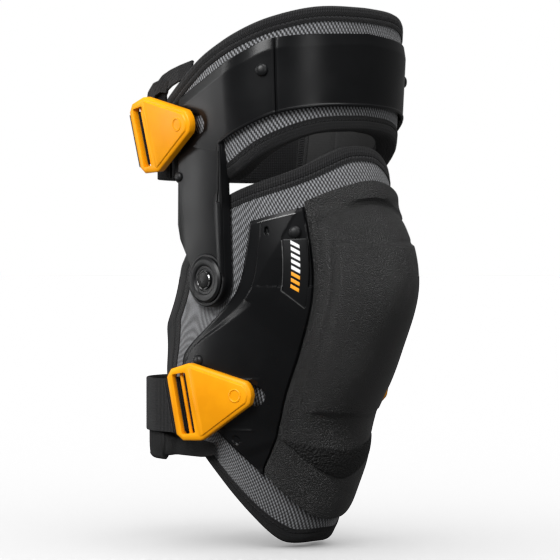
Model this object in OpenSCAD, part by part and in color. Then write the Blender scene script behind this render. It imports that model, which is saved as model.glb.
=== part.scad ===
// Hinged knee pad with a thigh support: padded shin and knee unit, padded thigh cuff,
// two coaxial pivots, and a hook buckle at each end of both straps.
// Front is -Y, up is +Z, the wearer's right is -X. Origin: midway between the two pivots.
// The modules count heights from near the lowest hem; place() moves them to the origin.

/* [Size] */
// height of the pivot axis in the modules' own frame
hinge_z = 180; // [175:1:185]
// place of the pivot axis from front to back in the modules' own frame
hinge_y = -5; // [-8:0.5:0]
// half width of the shin and knee unit at the pivots
knee_half_w = 66; // [60:0.5:72]
// half width of the thigh cuff at its top
thigh_half_w = 78; // [70:0.5:80]

/* [Layers] */
// thickness of the woven mesh cover
mesh_t = 1.2; // [0.8:0.1:2]
// thickness of the foam wings
foam_t = 10.6; // [8:0.2:14]
// thickness of the inner lining
liner_t = 1.2; // [0.8:0.1:2]
// thickness of the gel pad at its middle
gel_t = 9; // [5:0.5:12]
// height of the binding tape on each side of an edge
edge_w = 10; // [7:0.5:13]
// how far the binding tape stands out over the mesh
edge_out = 0.9; // [0.5:0.1:1.5]

/* [Shells] */
// thickness of the hard plates
plate_t = 3.2; // [2.4:0.1:4]
// gap between a plate and the mesh under it
plate_gap = 0.6; // [0.3:0.1:1]
// wall of the knee cap
cap_wall = 4.5; // [3:0.1:6]
// how far the grip inlay stands out
grip_out = 0.9; // [0.4:0.1:1.5]

/* [Pivot] */
// radius of the pivot post
post_r = 4; // [3:0.1:5]
// radial running clearance round the post
run_gap = 0.05; // [0.02:0.01:0.1]
// radius of the round end of the arm
boss_r = 18.5; // [16:0.5:20]
// radius of the hinge disc
disc_r = 15.6; // [13:0.2:17]
// inner face of the arm, from the middle plane
arm_x = 67; // [66.5:0.1:69]
// thickness of the arm plate
arm_t = 7; // [5:0.1:8]

/* [Buckles] */
// distance a buckle slides from the locked to the open end of its keyhole
slide_len = 14; // [9:0.5:15]
// width of the webbing
web_w = 38; // [36:0.5:40]
// thickness of the webbing
web_t = 2.4; // [1.6:0.1:3]
// tilt of a buckle in its own plane
buckle_tilt = 9.5; // [0:0.5:15]

/* [Hidden] */
$fn = 48;
knee_curl = 0.0014;
thigh_curl = 0.0006;
back_d = mesh_t + foam_t + liner_t + 0.2;

// Smooth interpolation in a short list of [position, value] pairs.
function seg(x, T, i = 0) = (i >= len(T) - 2 || x < T[i + 1][0]) ? i : seg(x, T, i + 1);
function slope(T, i) =
    let (a = max(0, i - 1), b = min(len(T) - 1, i + 1))
    (T[b][1] - T[a][1]) / (T[b][0] - T[a][0]);
function smooth(x, T) =
    let (i = seg(x, T))
    let (h = T[i + 1][0] - T[i][0])
    let (u = min(1, max(0, (x - T[i][0]) / h)))
    let (p = T[i][1], q = T[i + 1][1], m = slope(T, i) * h, n = slope(T, i + 1) * h)
    p * (1 + 2 * u) * pow(1 - u, 2) + m * u * pow(1 - u, 2) + q * u * u * (3 - 2 * u) + n * u * u * (u - 1);

// Leg section: half an ellipse in front, gently curled straight walls behind. t is 0 at the front
// and 90 where the wall turns straight; positive t is the wearer's right.
function leg(t, z, a, y0, b, d, curl) =
    let (s = sign(t), w = abs(t), y = (w - 90) * b * PI / 180)
    w <= 90 ? [-s * (a + d) * sin(w), y0 - (b + d) * cos(w), z]
            : [-s * (a + d - curl * y * y), y0 + y, z];
function leg_turn(t, a, b) = atan2(sin(t) / a, cos(t) / b);

// Shin and knee unit: half width, centre and front reach of the mesh surface at each height.
function kn_a(z) = smooth(z, [[-4, 34], [10, 38], [36, 50], [58, 60], [80, 67], [104, 70], [135, 68],
    [160, knee_half_w + 0.2], [180, knee_half_w], [240, knee_half_w - 1], [275, knee_half_w - 4]]);
function kn_y(z) = smooth(z, [[-4, 0], [12, 0], [36, 2], [58, 8], [80, 14], [104, 17], [140, 5], [180, -8], [240, -11], [275, -11]]);
function kn_f(z) = smooth(z, [[-4, 36], [16, 48], [36, 54], [60, 59], [80, 63], [130, 84], [180, 96], [240, 87], [275, 80]]);
function kn(t, z, d) = leg(t, z, kn_a(z), kn_y(z), kn_y(z) + kn_f(z), d, knee_curl);
kn_tmax = 119;
function kn_top(t) = smooth(abs(t), [[0, 272], [15, 270], [46, 255], [85, 239], [98, 228], [110, 212], [119, 190]]);
function kn_low(t) = smooth(abs(t), [[0, -3], [29, -3.4], [46, -1], [70, 12], [88, 35], [95, 58], [102, 92], [111, 126], [119, 148]]);
function steep(a, b) = sqrt(1 + pow((b - a) / 3.2, 2));
function kn_top_in(t) = kn_top(t) - edge_w * steep(kn_top(abs(t) - 1), kn_top(abs(t) + 1));
function kn_low_in(t) = kn_low(t) + edge_w * steep(kn_low(abs(t) - 1), kn_low(abs(t) + 1));

// Thigh cuff: the same for the upper unit.
function th_a(z) = smooth(z, [[245, knee_half_w + 1], [262, knee_half_w + 3.2], [285, thigh_half_w - 5],
    [320, thigh_half_w - 2.2], [345, thigh_half_w - 0.8], [370, thigh_half_w]]);
function th_f(z) = smooth(z, [[245, 81], [285, 82.5], [320, 83.5], [370, 85.5]]);
th_y = -25;
function th(t, z, d) = leg(t, z, th_a(z), th_y, th_y + th_f(z), d, thigh_curl);
th_tmax = 154;
function th_top(t) = smooth(abs(t), [[0, 366], [30, 364.5], [57, 357], [79, 348], [110, 335], [130, 323], [154, 306]]);
function th_low(t) = smooth(abs(t), [[0, 282], [30, 279], [60, 267], [88, 251], [105, 247], [154, 247]]);
function th_top_in(t) = th_top(t) - edge_w * steep(th_top(abs(t) - 1), th_top(abs(t) + 1));
function th_low_in(t) = th_low(t) + edge_w * steep(th_low(abs(t) - 1), th_low(abs(t) + 1));

// Knee cap: how far its outer face stands over the mesh.
function cap_rise(z) = smooth(z, [[12, 5], [36, 6.5], [56, 8.5], [70, 7.6], [80, 7], [92, 9], [110, 12.8],
    [130, 15.5], [160, 20], [180, 20.4], [200, 18], [214, 13.5], [224, 8], [231, 4.4], [237, 5.4], [250, 4.8]]);
function cap_tc(z) = smooth(z, [[12, 53], [47, 53], [62, 46], [75, 41], [100, 39], [180, 39], [232, 41.5]]);
function cap_out(u, z) = 3.8 + (cap_rise(z) - 3.8) * (1 - pow(abs(u), 2.4));
function cap_in(u, z) = max(plate_gap, cap_out(u, z) - cap_wall);
function cap_top(u) = 248 - 15 * pow(abs(u), 1.6);
function cap_low(u) = smooth(abs(u), [[0, 13.5], [0.4, 17.5], [0.75, 31], [1, 47]]);

// Side plate, front and rear edges as t at each height.
function sp_front(z) = cap_tc(z) + 0.9;
function sp_rear(z) = smooth(z, [[47, 55], [56, 62], [80, 77], [105, 89], [120, 96], [131, 97], [150, 87], [172, 77], [200, 73], [221, 70.5]]);
function sp_top(u) = 230 - 10 * u;

// Closed solid between an outer and an inner grid of points.
module shell(A, B) {
    n = len(A);
    m = len(A[0]);
    pts = concat([for (r = A) for (p = r) p], [for (r = B) for (p = r) p]);
    k = n * m;
    outer = [for (i = [0:n - 2]) for (j = [0:m - 2]) for (f = [
        [i * m + j, (i + 1) * m + j, (i + 1) * m + j + 1], [i * m + j, (i + 1) * m + j + 1, i * m + j + 1]]) f];
    inner = [for (f = outer) [f[0] + k, f[2] + k, f[1] + k]];
    rim = concat(
        [for (i = [0:n - 2]) [(i + 1) * m, i * m, k + i * m, k + (i + 1) * m]],
        [for (i = [0:n - 2]) [i * m + m - 1, (i + 1) * m + m - 1, k + (i + 1) * m + m - 1, k + i * m + m - 1]],
        [for (j = [0:m - 2]) [j, j + 1, k + j + 1, k + j]],
        [for (j = [0:m - 2]) [(n - 1) * m + j + 1, (n - 1) * m + j, k + (n - 1) * m + j, k + (n - 1) * m + j + 1]]);
    sides = [for (q = rim) for (f = [[q[0], q[1], q[2]], [q[0], q[2], q[3]]]) f];
    polyhedron(points = pts, faces = concat(outer, inner, sides), convexity = 8);
}

function mix(a, b, v) = a + (b - a) * v;

module place() {
    translate([0, -hinge_y, -hinge_z]) children();
}

module mirror_l() {
    mirror([1, 0, 0]) children();
}

// Puts a child on a point with its +Z outwards, its +X forwards and its +Y up.
module at_n(p, turn, dip = 0) {
    translate(p) rotate([90, 0, -turn]) rotate([dip, 0, 0]) children();
}

// Lays a round cutter or pin along X on the right side, from x1 to x2.
module side_rod(r, x1, x2) {
    translate([-x2, hinge_y, hinge_z]) rotate([0, 90, 0]) cylinder(r = r, h = x2 - x1);
}

// Buckle places: post point, turn and dip of the buckle plane.
up_z = 287;
up_t = 131;
up_turn = 93.5;
up_dip = 6.5;
up_p = th(up_t, up_z, plate_gap + plate_t + 2.4);
lo_z = 101.5;
lo_t = 63;
lo_turn = 73;
lo_dip = 3;
lo_p = kn(lo_t, lo_z, plate_gap + plate_t + 1.5);

module at_up() {
    at_n(up_p, up_turn, up_dip) children();
}

module at_lo() {
    at_n(lo_p, lo_turn, lo_dip) children();
}

// Space under a plate for the head of a post as it slides.
module head_pocket() {
    translate([0, 0, -9]) {
        cylinder(r = 7.2, h = 8);
        translate([slide_len, 0, 0]) cylinder(r = 7.2, h = 8);
        translate([0, -7.2, 0]) cube([slide_len, 14.4, 8]);
    }
}

// Keyhole: round at the front, narrow at the back.
module keyhole() {
    translate([0, 0, -12]) {
        cylinder(r = 3.7, h = 16);
        translate([0, -3.7, 0]) cube([slide_len, 7.4, 16]);
        translate([slide_len, 0, 0]) cylinder(r = 7.4, h = 16);
    }
}

// Relief at a plate's rear edge, for the strap's fold as the buckle slides forward.
module strap_relief() {
    rotate([0, 0, buckle_tilt]) translate([-60, -web_w / 2 - 4, -3.1]) cube([40, web_w + 8, 8]);
}

// ---- shin and knee unit ----

kn_nu = 34;
kn_nv = 12;
function kn_grid(d0, g) = [for (i = [0:kn_nu]) [for (j = [0:kn_nv])
    let (t = mix(-kn_tmax + 6, kn_tmax - 6, i / kn_nu))
    let (z = mix(kn_low_in(t) + 1.2, kn_top_in(t) - 0.4, j / kn_nv))
    kn(t, z, d0 - g * gel_swell(t, z))]];
function gel_swell(t, z) =
    pow(cos(min(90, abs(t) * 1.8)), 2) * pow(cos(min(90, abs(z - 165) * 1.06)), 2);

module knee_foam() {
    color("dimgray") difference() {
        shell(kn_grid(-mesh_t - 0.1, 0), kn_grid(-mesh_t - 0.1 - foam_t, 0));
        for (s = [0, 1]) mirror([s, 0, 0]) {
            side_rod(17, knee_half_w - 4.1, knee_half_w - 1.1);
            at_lo() head_pocket();
        }
    }
}

module knee_mesh() {
    color("gray") difference() {
        shell(kn_grid(0, 0), kn_grid(-mesh_t, 0));
        for (s = [0, 1]) mirror([s, 0, 0]) {
            side_rod(post_r + 0.6, knee_half_w - 4, knee_half_w + 4);
            at_lo() head_pocket();
        }
    }
}

module knee_liner() {
    color("darkslategray") shell(kn_grid(-mesh_t - foam_t - 0.2, gel_t), kn_grid(-back_d, gel_t));
}

module knee_gel() {
    function gel(d, g) = [for (i = [0:12]) [for (j = [0:8])
        let (t = mix(-27, 27, i / 12), z = mix(120, 210, j / 8))
        kn(t, z, d - g * gel_swell(t, z))]];
    color("steelblue") shell(gel(-mesh_t - foam_t - 0.9, 0), gel(-mesh_t - foam_t + 0.2, gel_t));
}

module knee_edge_top() {
    function e(d) = [for (i = [0:34]) [for (j = [0:1])
        let (t = mix(-kn_tmax + 6, kn_tmax - 6, i / 34))
        kn(t, mix(kn_top_in(t), kn_top(t), j), d)]];
    color("black") shell(e(edge_out), e(-back_d - 0.6));
}

module knee_edge_bottom() {
    function e(d) = [for (i = [0:34]) [for (j = [0:1])
        let (t = mix(-kn_tmax + 6, kn_tmax - 6, i / 34))
        kn(t, mix(kn_low(t), kn_low_in(t), j), d)]];
    color("black") shell(e(edge_out), e(-back_d - 0.6));
}

module knee_edge_rear_r() {
    function e(d) = [for (i = [0:1]) [for (j = [0:6])
        let (t = mix(kn_tmax - 5.7, kn_tmax, i))
        kn(t, mix(kn_low(t) + 0.3, kn_top(t) - 0.3, j / 6), d)]];
    color("black") shell(e(edge_out), e(-back_d - 0.6));
}

module knee_edge_rear_l() {
    mirror_l() knee_edge_rear_r();
}

module knee_cap() {
    function c(f) = [for (i = [0:28]) [for (j = [0:26])
        let (u = mix(-1, 1, i / 28))
        let (z = mix(cap_low(u), cap_top(u), j / 26))
        kn(u * cap_tc(z), z, f == 0 ? cap_out(u, z) : cap_in(u, z))]];
    color("#2b2b2b") shell(c(0), c(1));
}

// Foam block that fills the dome behind the cap.
module cap_core() {
    function c(f) = [for (i = [0:14]) [for (j = [0:14])
        let (u = mix(-0.9, 0.9, i / 14), z = mix(98, 219, j / 14))
        kn(u * cap_tc(z), z, f == 0 ? max(0.9, cap_in(u, z) - 0.4) : plate_gap - 0.1)]];
    color("dimgray") shell(c(0), c(1));
}

module cap_grip() {
    function g(d) = [for (i = [0:18]) [for (j = [0:4])
        let (w = mix(-1, 1, i / 18))
        let (z = mix(mix(43, 58, pow(abs(w), 1.8)), mix(63, 72, pow(abs(w), 1.6)), j / 4))
        let (t = w * mix(28.5, 39.5, j / 4))
        kn(t, z, cap_out(t / cap_tc(z), z) + d)]];
    color("#101010") shell(g(grip_out), g(-0.4));
}

module side_plate_r() {
    function s(d) = [for (i = [0:9]) [for (j = [0:20])
        let (u = i / 9)
        let (z = mix(47, sp_top(u), j / 20))
        kn(mix(sp_front(z), sp_rear(z), u), z, d)]];
    color("#1d1d1d") difference() {
        shell(s(plate_gap + plate_t), s(plate_gap));
        at_lo() keyhole();
        at_lo() strap_relief();
    }
}

module side_plate_l() {
    mirror_l() side_plate_r();
}

module badge_r() {
    function b(d) = [for (i = [0:4]) [for (j = [0:4])
        let (u = i / 4)
        let (z = mix(mix(161, 173, u), 208, j / 4))
        kn(mix(42.2, 53, u), z, d)]];
    color("white") shell(b(plate_gap + plate_t + 0.7), b(plate_gap + plate_t - 0.4));
}

module badge_l() {
    mirror_l() badge_r();
}

// Domed rivet: head on the plate, shank through it.
module rivet(r = 3.9) {
    translate([0, 0, -plate_t - 0.2]) cylinder(r = 1.6, h = plate_t + 0.6);
    intersection() {
        translate([0, 0, -0.3]) cylinder(r = r, h = 4);
        translate([0, 0, -r * 1.1]) sphere(r = r * 1.6, $fn = 40);
    }
}

module kn_rivet(t, z) {
    d = plate_gap + plate_t;
    at_n(kn(t, z, d), leg_turn(min(t, 90), kn_a(z) + d, kn_y(z) + kn_f(z) + d)) rivet();
}

module plate_rivets_r() {
    color("#202020") {
        kn_rivet(47.6, 213);
        kn_rivet(86.5, 124.5);
    }
}

module plate_rivets_l() {
    mirror_l() plate_rivets_r();
}

module pivot_post_r() {
    color("silver") {
        side_rod(16, knee_half_w - 3.8, knee_half_w - 2.2);
        side_rod(post_r, knee_half_w - 2.8, arm_x + arm_t + 3.2);
        side_rod(6.6, arm_x + arm_t + 2.8, arm_x + arm_t + 4.2);
    }
}

module pivot_post_l() {
    mirror_l() pivot_post_r();
}

module pivot_washer_r() {
    color("white") difference() {
        side_rod(12, knee_half_w + 0.2, arm_x - 0.15);
        side_rod(post_r + 0.3, knee_half_w - 1, arm_x + 1);
    }
}

module pivot_washer_l() {
    mirror_l() pivot_washer_r();
}

// Plan of a strap or pad that runs round the back of the leg, open at the front.
module loop_plan(w, y1, y2, r, t) {
    for (k = [0, 1]) mirror([k, 0]) {
        translate([-w, y1]) square([t, y2 - r - y1 + 0.5]);
        intersection() {
            translate([-w + r, y2 - r]) difference() {
                circle(r = r, $fn = 96);
                circle(r = r - t, $fn = 96);
            }
            translate([-w - 1, y2 - r]) square([r + 1.5, r + 1]);
        }
        translate([-w + r, y2 - t]) square([w - r + 0.5, t]);
    }
}

module lower_strap() {
    color("#181818") translate([0, 0, 92 - web_w / 2]) linear_extrude(web_w) loop_plan(74.8, 21, 83, 40, web_t);
}

// Padded sleeve behind the calf; its front ends lie outside the wings, under the buckles.
module calf_pad() {
    function e(d) = [for (i = [0:14]) [for (j = [0:2])
        kn(mix(80, 118, i / 14), mix(57, 68, j / 2), d)]];
    color("#222222") {
        translate([0, 0, 56]) linear_extrude(44) loop_plan(72, 40, 80.2, 37.2, 7);
        for (k = [0, 1]) mirror([k, 0, 0]) shell(e(5.6), e(1.5));
    }
}

// ---- thigh unit ----

th_nu = 34;
th_nv = 5;
function th_grid(d) = [for (i = [0:th_nu]) [for (j = [0:th_nv])
    let (t = mix(-th_tmax + 9, th_tmax - 9, i / th_nu))
    th(t, mix(th_low_in(t) + 0.8, th_top_in(t) - 0.4, j / th_nv), d)]];

module thigh_foam() {
    color("dimgray") difference() {
        shell(th_grid(-mesh_t - 0.1), th_grid(-mesh_t - 0.1 - foam_t));
        for (s = [0, 1]) mirror([s, 0, 0]) at_up() head_pocket();
    }
}

module thigh_mesh() {
    color("gray") difference() {
        shell(th_grid(0), th_grid(-mesh_t));
        for (s = [0, 1]) mirror([s, 0, 0]) at_up() head_pocket();
    }
}

module thigh_liner() {
    color("darkslategray") shell(th_grid(-mesh_t - foam_t - 0.2), th_grid(-back_d));
}

module thigh_edge_top() {
    function e(d) = [for (i = [0:34]) [for (j = [0:1])
        let (t = mix(-th_tmax + 9, th_tmax - 9, i / 34))
        th(t, mix(th_top_in(t), th_top(t), j), d)]];
    color("black") shell(e(edge_out), e(-back_d - 0.6));
}

module thigh_edge_bottom() {
    function e(d) = [for (i = [0:34]) [for (j = [0:1])
        let (t = mix(-th_tmax + 9, th_tmax - 9, i / 34))
        th(t, mix(th_low(t), th_low_in(t), j), d)]];
    color("black") shell(e(min(edge_out, 0.4)), e(-back_d - 0.6));
}

module thigh_edge_rear_r() {
    function e(d) = [for (i = [0:1]) [for (j = [0:5])
        let (t = mix(th_tmax - 8.6, th_tmax, i))
        th(t, mix(th_low(t) + 0.3, th_top(t) - 0.3, j / 5), d)]];
    color("black") shell(e(edge_out), e(-back_d - 0.6));
}

module thigh_edge_rear_l() {
    mirror_l() thigh_edge_rear_r();
}

// Hard plates of the cuff: top and bottom edges by t.
function tp_top(t) = smooth(abs(t), [[0, 348], [55, 342.5], [74, 333.5], [110, 317], [139, 304]]);
function tp_low(t) = smooth(abs(t), [[0, 298], [30, 296.5], [54, 291.5], [80, 280], [97, 272.5]]);

module thigh_panel() {
    function p(d) = [for (i = [0:16]) [for (j = [0:4])
        let (t = mix(-53.4, 53.4, i / 16))
        th(t, mix(tp_low(t), tp_top(t), j / 4), d)]];
    color("#1a1a1a") shell(p(plate_gap + plate_t), p(plate_gap));
}

module side_arm_r() {
    function fore(d) = [for (i = [0:8]) [for (j = [0:4])
        let (t = mix(54.2, 101, i / 8))
        th(t, mix(tp_low(min(t, 97)), tp_top(t), j / 4), d)]];
    function aft(d) = [for (i = [0:7]) [for (j = [0:5])
        let (t = mix(97, 139, i / 7))
        th(t, mix(258, tp_top(t), j / 5), d)]];
    color("#161616") difference() {
        union() {
            shell(fore(plate_gap + plate_t), fore(plate_gap));
            shell(aft(plate_gap + plate_t), aft(plate_gap));
            difference() {
                translate([-arm_x - arm_t, 0, 0]) rotate([90, 0, 90]) linear_extrude(arm_t) arm_plan();
                cuff_room();
            }
        }
        side_rod(post_r + run_gap, arm_x - 3, arm_x + arm_t + 3);
        at_up() keyhole();
    }
}

// Room for the cuff's padding behind the top of the arm.
module cuff_room() {
    function c(d) = [for (i = [0:14]) [for (j = [0:6])
        let (t = mix(62, 154, i / 14))
        th(t, mix(244, 300, j / 6), d)]];
    shell(c(0.58), c(-12));
}

module arm_plan() {
    translate([hinge_y, hinge_z]) {
        circle(r = boss_r, $fn = 96);
        polygon([[-boss_r + 0.2, 2], [-15.5, 88], [28, 88], [32.8, 82], [33.2, 38], [30.5, 27], [17, 7.5], [0, 0]]);
    }
}

module side_arm_l() {
    mirror_l() side_arm_r();
}

module hinge_disc_r() {
    color("#242424") difference() {
        union() {
            side_rod(disc_r, arm_x + arm_t + 0.05, arm_x + arm_t + 1.6);
            side_rod(disc_r - 1.2, arm_x + arm_t + 0.05, arm_x + arm_t + 2.6);
        }
        side_rod(10.4, arm_x + arm_t + 1.7, arm_x + arm_t + 4);
        side_rod(post_r + run_gap, arm_x, arm_x + arm_t + 4);
    }
}

module hinge_disc_l() {
    mirror_l() hinge_disc_r();
}

module th_rivet(t, z) {
    d = plate_gap + plate_t;
    at_n(th(t, z, d), leg_turn(min(t, 90), th_a(z) + d, th_y + th_f(z) + d) + max(0, t - 90) * 0.18) rivet();
}

module thigh_rivets_r() {
    color("#202020") {
        th_rivet(61, 321);
        translate([-arm_x - arm_t, 24, 251.5]) rotate([0, -90, 0]) rivet(3.4);
    }
}

module thigh_rivets_l() {
    mirror_l() thigh_rivets_r();
}

module upper_strap() {
    color("#181818") translate([0, 0, 248]) linear_extrude(web_w + 11) loop_plan(66, 46.6, 82, 34, web_t);
}

// Spare webbing folded back on itself above the buckle.
module strap_fold_r() {
    color("#181818") translate([-67.4, 54, 302]) rotate([0, 0, 4]) {
        translate([0, 0, 0]) rotate_extrude(angle = 180, $fn = 48) translate([2.4, 0]) square([2.2, 22]);
        translate([2.4, -14, 0]) cube([2.2, 14.05, 22]);
        translate([-4.6, -10, 0]) cube([2.2, 10.05, 22]);
    }
}

module strap_fold_l() {
    mirror_l() strap_fold_r();
}

// ---- buckles ----

module buckle_outline(k) {
    polygon([[-48 + k, -21], [-46.5 + k, -24 + k], [-29, -26.8 + k], [12.5 - k, -9.5 + k], [15.5 - k, -6], [16 - k, 0],
        [15.5 - k, 6], [12.5 - k, 9.5 - k], [-29, 26.8 - k], [-46.5 + k, 24 - k], [-48 + k, 21]]);
}

module buckle() {
    rotate([0, 0, buckle_tilt]) {
        difference() {
            union() {
                linear_extrude(4.6) buckle_outline(0);
                linear_extrude(6) buckle_outline(1.4);
                intersection() {
                    linear_extrude(7.4) buckle_outline(3.4);
                    translate([-30, -30, 0]) cube([60, 60, 12]);
                }
            }
            translate([-42, -web_w / 2 - 1.5, -1]) cube([8.2, web_w + 3, 20]);
        }
        translate([-38, web_w / 2 + 3, 1.9]) rotate([90, 0, 0]) cylinder(r = 1.3, h = web_w + 6);
    }
    translate([0, 0, -7]) cylinder(r = 3.2, h = 8);
    translate([0, 0, -8.3]) cylinder(r = 6.3, h = 1.4);
}

module strap_end() {
    rotate([0, 0, buckle_tilt]) color("#181818") difference() {
        union() {
            translate([-41.6, -web_w / 2, -1.2]) cube([7.4, web_w, 5]);
            translate([-51, -web_w / 2, -2.6]) cube([15, web_w, 1.5]);
        }
        translate([-38, 30, 1.9]) rotate([90, 0, 0]) cylinder(r = 1.65, h = 60);
    }
}

module upper_buckle_r() {
    color("orange") at_up() buckle();
}

module upper_buckle_l() {
    mirror_l() upper_buckle_r();
}

module upper_strap_end_r() {
    at_up() strap_end();
}

module upper_strap_end_l() {
    mirror_l() upper_strap_end_r();
}

module lower_buckle_r() {
    color("orange") at_lo() buckle();
}

module lower_buckle_l() {
    mirror_l() lower_buckle_r();
}

module lower_strap_end_r() {
    at_lo() strap_end();
}

module lower_strap_end_l() {
    mirror_l() lower_strap_end_r();
}

place() knee_foam();
place() knee_gel();
place() knee_liner();
place() knee_mesh();
place() knee_edge_top();
place() knee_edge_bottom();
place() knee_edge_rear_r();
place() knee_edge_rear_l();
place() knee_cap();
place() cap_core();
place() cap_grip();
place() side_plate_r();
place() side_plate_l();
place() badge_r();
place() badge_l();
place() plate_rivets_r();
place() plate_rivets_l();
place() pivot_post_r();
place() pivot_post_l();
place() pivot_washer_r();
place() pivot_washer_l();
place() lower_strap();
place() calf_pad();
place() thigh_foam();
place() thigh_liner();
place() thigh_mesh();
place() thigh_edge_top();
place() thigh_edge_bottom();
place() thigh_edge_rear_r();
place() thigh_edge_rear_l();
place() thigh_panel();
place() side_arm_r();
place() side_arm_l();
place() hinge_disc_r();
place() hinge_disc_l();
place() thigh_rivets_r();
place() thigh_rivets_l();
place() upper_strap();
place() strap_fold_r();
place() strap_fold_l();
place() upper_buckle_r();
place() upper_strap_end_r();
place() upper_buckle_l();
place() upper_strap_end_l();
place() lower_buckle_r();
place() lower_strap_end_r();
place() lower_buckle_l();
place() lower_strap_end_l();
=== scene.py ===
import math

import bpy
from mathutils import Matrix, Vector


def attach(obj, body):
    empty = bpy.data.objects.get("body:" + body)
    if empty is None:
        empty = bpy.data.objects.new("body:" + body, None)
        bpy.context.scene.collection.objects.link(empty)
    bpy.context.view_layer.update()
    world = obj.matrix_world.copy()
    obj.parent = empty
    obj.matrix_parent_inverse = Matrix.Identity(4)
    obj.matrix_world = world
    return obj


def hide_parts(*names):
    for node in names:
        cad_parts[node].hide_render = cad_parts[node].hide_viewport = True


bl_info = {
    "name": "Hinged Knee Pad",
    "version": (1, 0, 0),
    "blender": (4, 5, 0),
    "location": "3D View > Sidebar > Knee Pad",
    "description": "Builds a hinged knee pad piece by piece: padding, bindings, shells, pivots, buckles and straps",
    "category": "Object",
}

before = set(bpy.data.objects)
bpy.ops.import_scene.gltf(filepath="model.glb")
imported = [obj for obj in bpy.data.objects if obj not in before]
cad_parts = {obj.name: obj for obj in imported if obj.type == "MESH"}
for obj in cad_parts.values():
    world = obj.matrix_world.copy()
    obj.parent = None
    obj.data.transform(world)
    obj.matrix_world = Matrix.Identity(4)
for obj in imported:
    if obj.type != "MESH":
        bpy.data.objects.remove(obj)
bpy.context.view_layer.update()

# Shapes are worked out in millimetres, with heights from near the lowest hem, and moved to the
# common frame (metres, origin between the pivots) when a piece is done.
HINGE_Y, HINGE_Z = -5.0, 180.0
TO_FRAME = Matrix.Scale(0.001, 4) @ Matrix.Translation((0, -HINGE_Y, -HINGE_Z))
MM = 1000          # panel values are in metres
BACK = 13.2        # depth of the padding from mesh to lining
FACE = 3.8         # outer face of a hard plate over the mesh
TAPE_WIDE = 10     # how far the binding reaches in from an edge
KNEE_REAR, THIGH_REAR = 119, 154     # degrees round the leg to the rear edges of the two pads
MM_PER_DEG = 1.4   # length along a side plate for one degree round the leg
ARM_IN, ARM_THICK, BOSS_R = 67, 6.9, 18.5


# ---- the leg shapes ----

def smooth(x, table):
    """A smooth curve through a table of (x, y), held level beyond its ends."""
    i = 0
    while i < len(table) - 2 and x >= table[i + 1][0]:
        i += 1

    def slope(k):
        a, b = max(0, k - 1), min(len(table) - 1, k + 1)
        return (table[b][1] - table[a][1]) / (table[b][0] - table[a][0])

    h = table[i + 1][0] - table[i][0]
    u = min(1.0, max(0.0, (x - table[i][0]) / h))
    p, q, m, n = table[i][1], table[i + 1][1], slope(i) * h, slope(i + 1) * h
    return (p * (1 + 2 * u) * (1 - u) ** 2 + m * u * (1 - u) ** 2
            + q * u * u * (3 - 2 * u) + n * u * u * (u - 1))


def mix(a, b, v):
    return a + (b - a) * v


def ramp(x, a, b):
    """0 below a, 1 above b, eased between."""
    v = min(1.0, max(0.0, (x - a) / (b - a)))
    return v * v * (3 - 2 * v)


def leg(t, z, a, y0, b, d, curl):
    """Half an ellipse in front, gently curled walls behind; positive t is the wearer's right."""
    s = 1 if t >= 0 else -1
    w = abs(t)
    y = (w - 90) * b * math.pi / 180
    if w <= 90:
        r = math.radians(w)
        return Vector((-s * (a + d) * math.sin(r), y0 - (b + d) * math.cos(r), z))
    return Vector((-s * (a + d - curl * y * y), y0 + y, z))


KNEE_A = ((-4, 34), (10, 38), (36, 50), (58, 60), (80, 67), (104, 70), (135, 68), (160, 66.2), (180, 66),
          (240, 65), (275, 62))
KNEE_Y = ((-4, 0), (12, 0), (36, 2), (58, 8), (80, 14), (104, 17), (140, 5), (180, -8), (240, -11), (275, -11))
KNEE_F = ((-4, 36), (16, 48), (36, 54), (60, 59), (80, 63), (130, 84), (180, 96), (240, 87), (275, 80))
KNEE_TOP = ((0, 272), (15, 270), (46, 255), (85, 239), (98, 228), (110, 212), (119, 190))
KNEE_LOW = ((0, -3), (29, -3.4), (46, -1), (70, 12), (88, 35), (95, 58), (102, 92), (111, 126), (119, 148))
THIGH_A = ((245, 67), (262, 69.2), (285, 73), (320, 75.8), (345, 77.2), (370, 78))
THIGH_F = ((245, 81), (285, 82.5), (320, 83.5), (370, 85.5))
THIGH_TOP = ((0, 366), (30, 364.5), (57, 357), (79, 348), (110, 335), (130, 323), (154, 306))
THIGH_LOW = ((0, 282), (30, 279), (60, 267), (88, 251), (105, 247), (154, 247))
PANEL_TOP = ((0, 348), (55, 342.5), (74, 333.5), (110, 317), (139, 304))
PANEL_LOW = ((0, 298), (30, 296.5), (54, 291.5), (80, 280), (97, 272.5))
CAP_RISE = ((12, 5), (36, 6.5), (56, 8.5), (70, 7.6), (80, 7), (92, 9), (110, 12.8), (130, 15.5), (160, 20),
            (180, 20.4), (200, 18), (214, 13.5), (224, 8), (231, 4.4), (237, 5.4), (250, 4.8))
CAP_SIDE = ((12, 53), (47, 53), (62, 46), (75, 41), (100, 39), (180, 39), (232, 41.5))
CAP_LOW = ((0, 13.5), (0.4, 17.5), (0.75, 31), (1, 47))
PLATE_REAR = ((47, 55), (56, 62), (80, 77), (105, 89), (120, 96), (131, 97), (150, 87), (172, 77), (200, 73),
              (221, 70.5))


def knee(t, z, d):
    """Point on the lower pad at t degrees round the leg, height z and d over the mesh."""
    y = smooth(z, KNEE_Y)
    return leg(t, z, smooth(z, KNEE_A), y, y + smooth(z, KNEE_F), d, 0.0014)


def thigh(t, z, d):
    """The same on the thigh cuff."""
    return leg(t, z, smooth(z, THIGH_A), -25, -25 + smooth(z, THIGH_F), d, 0.0006)


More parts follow.
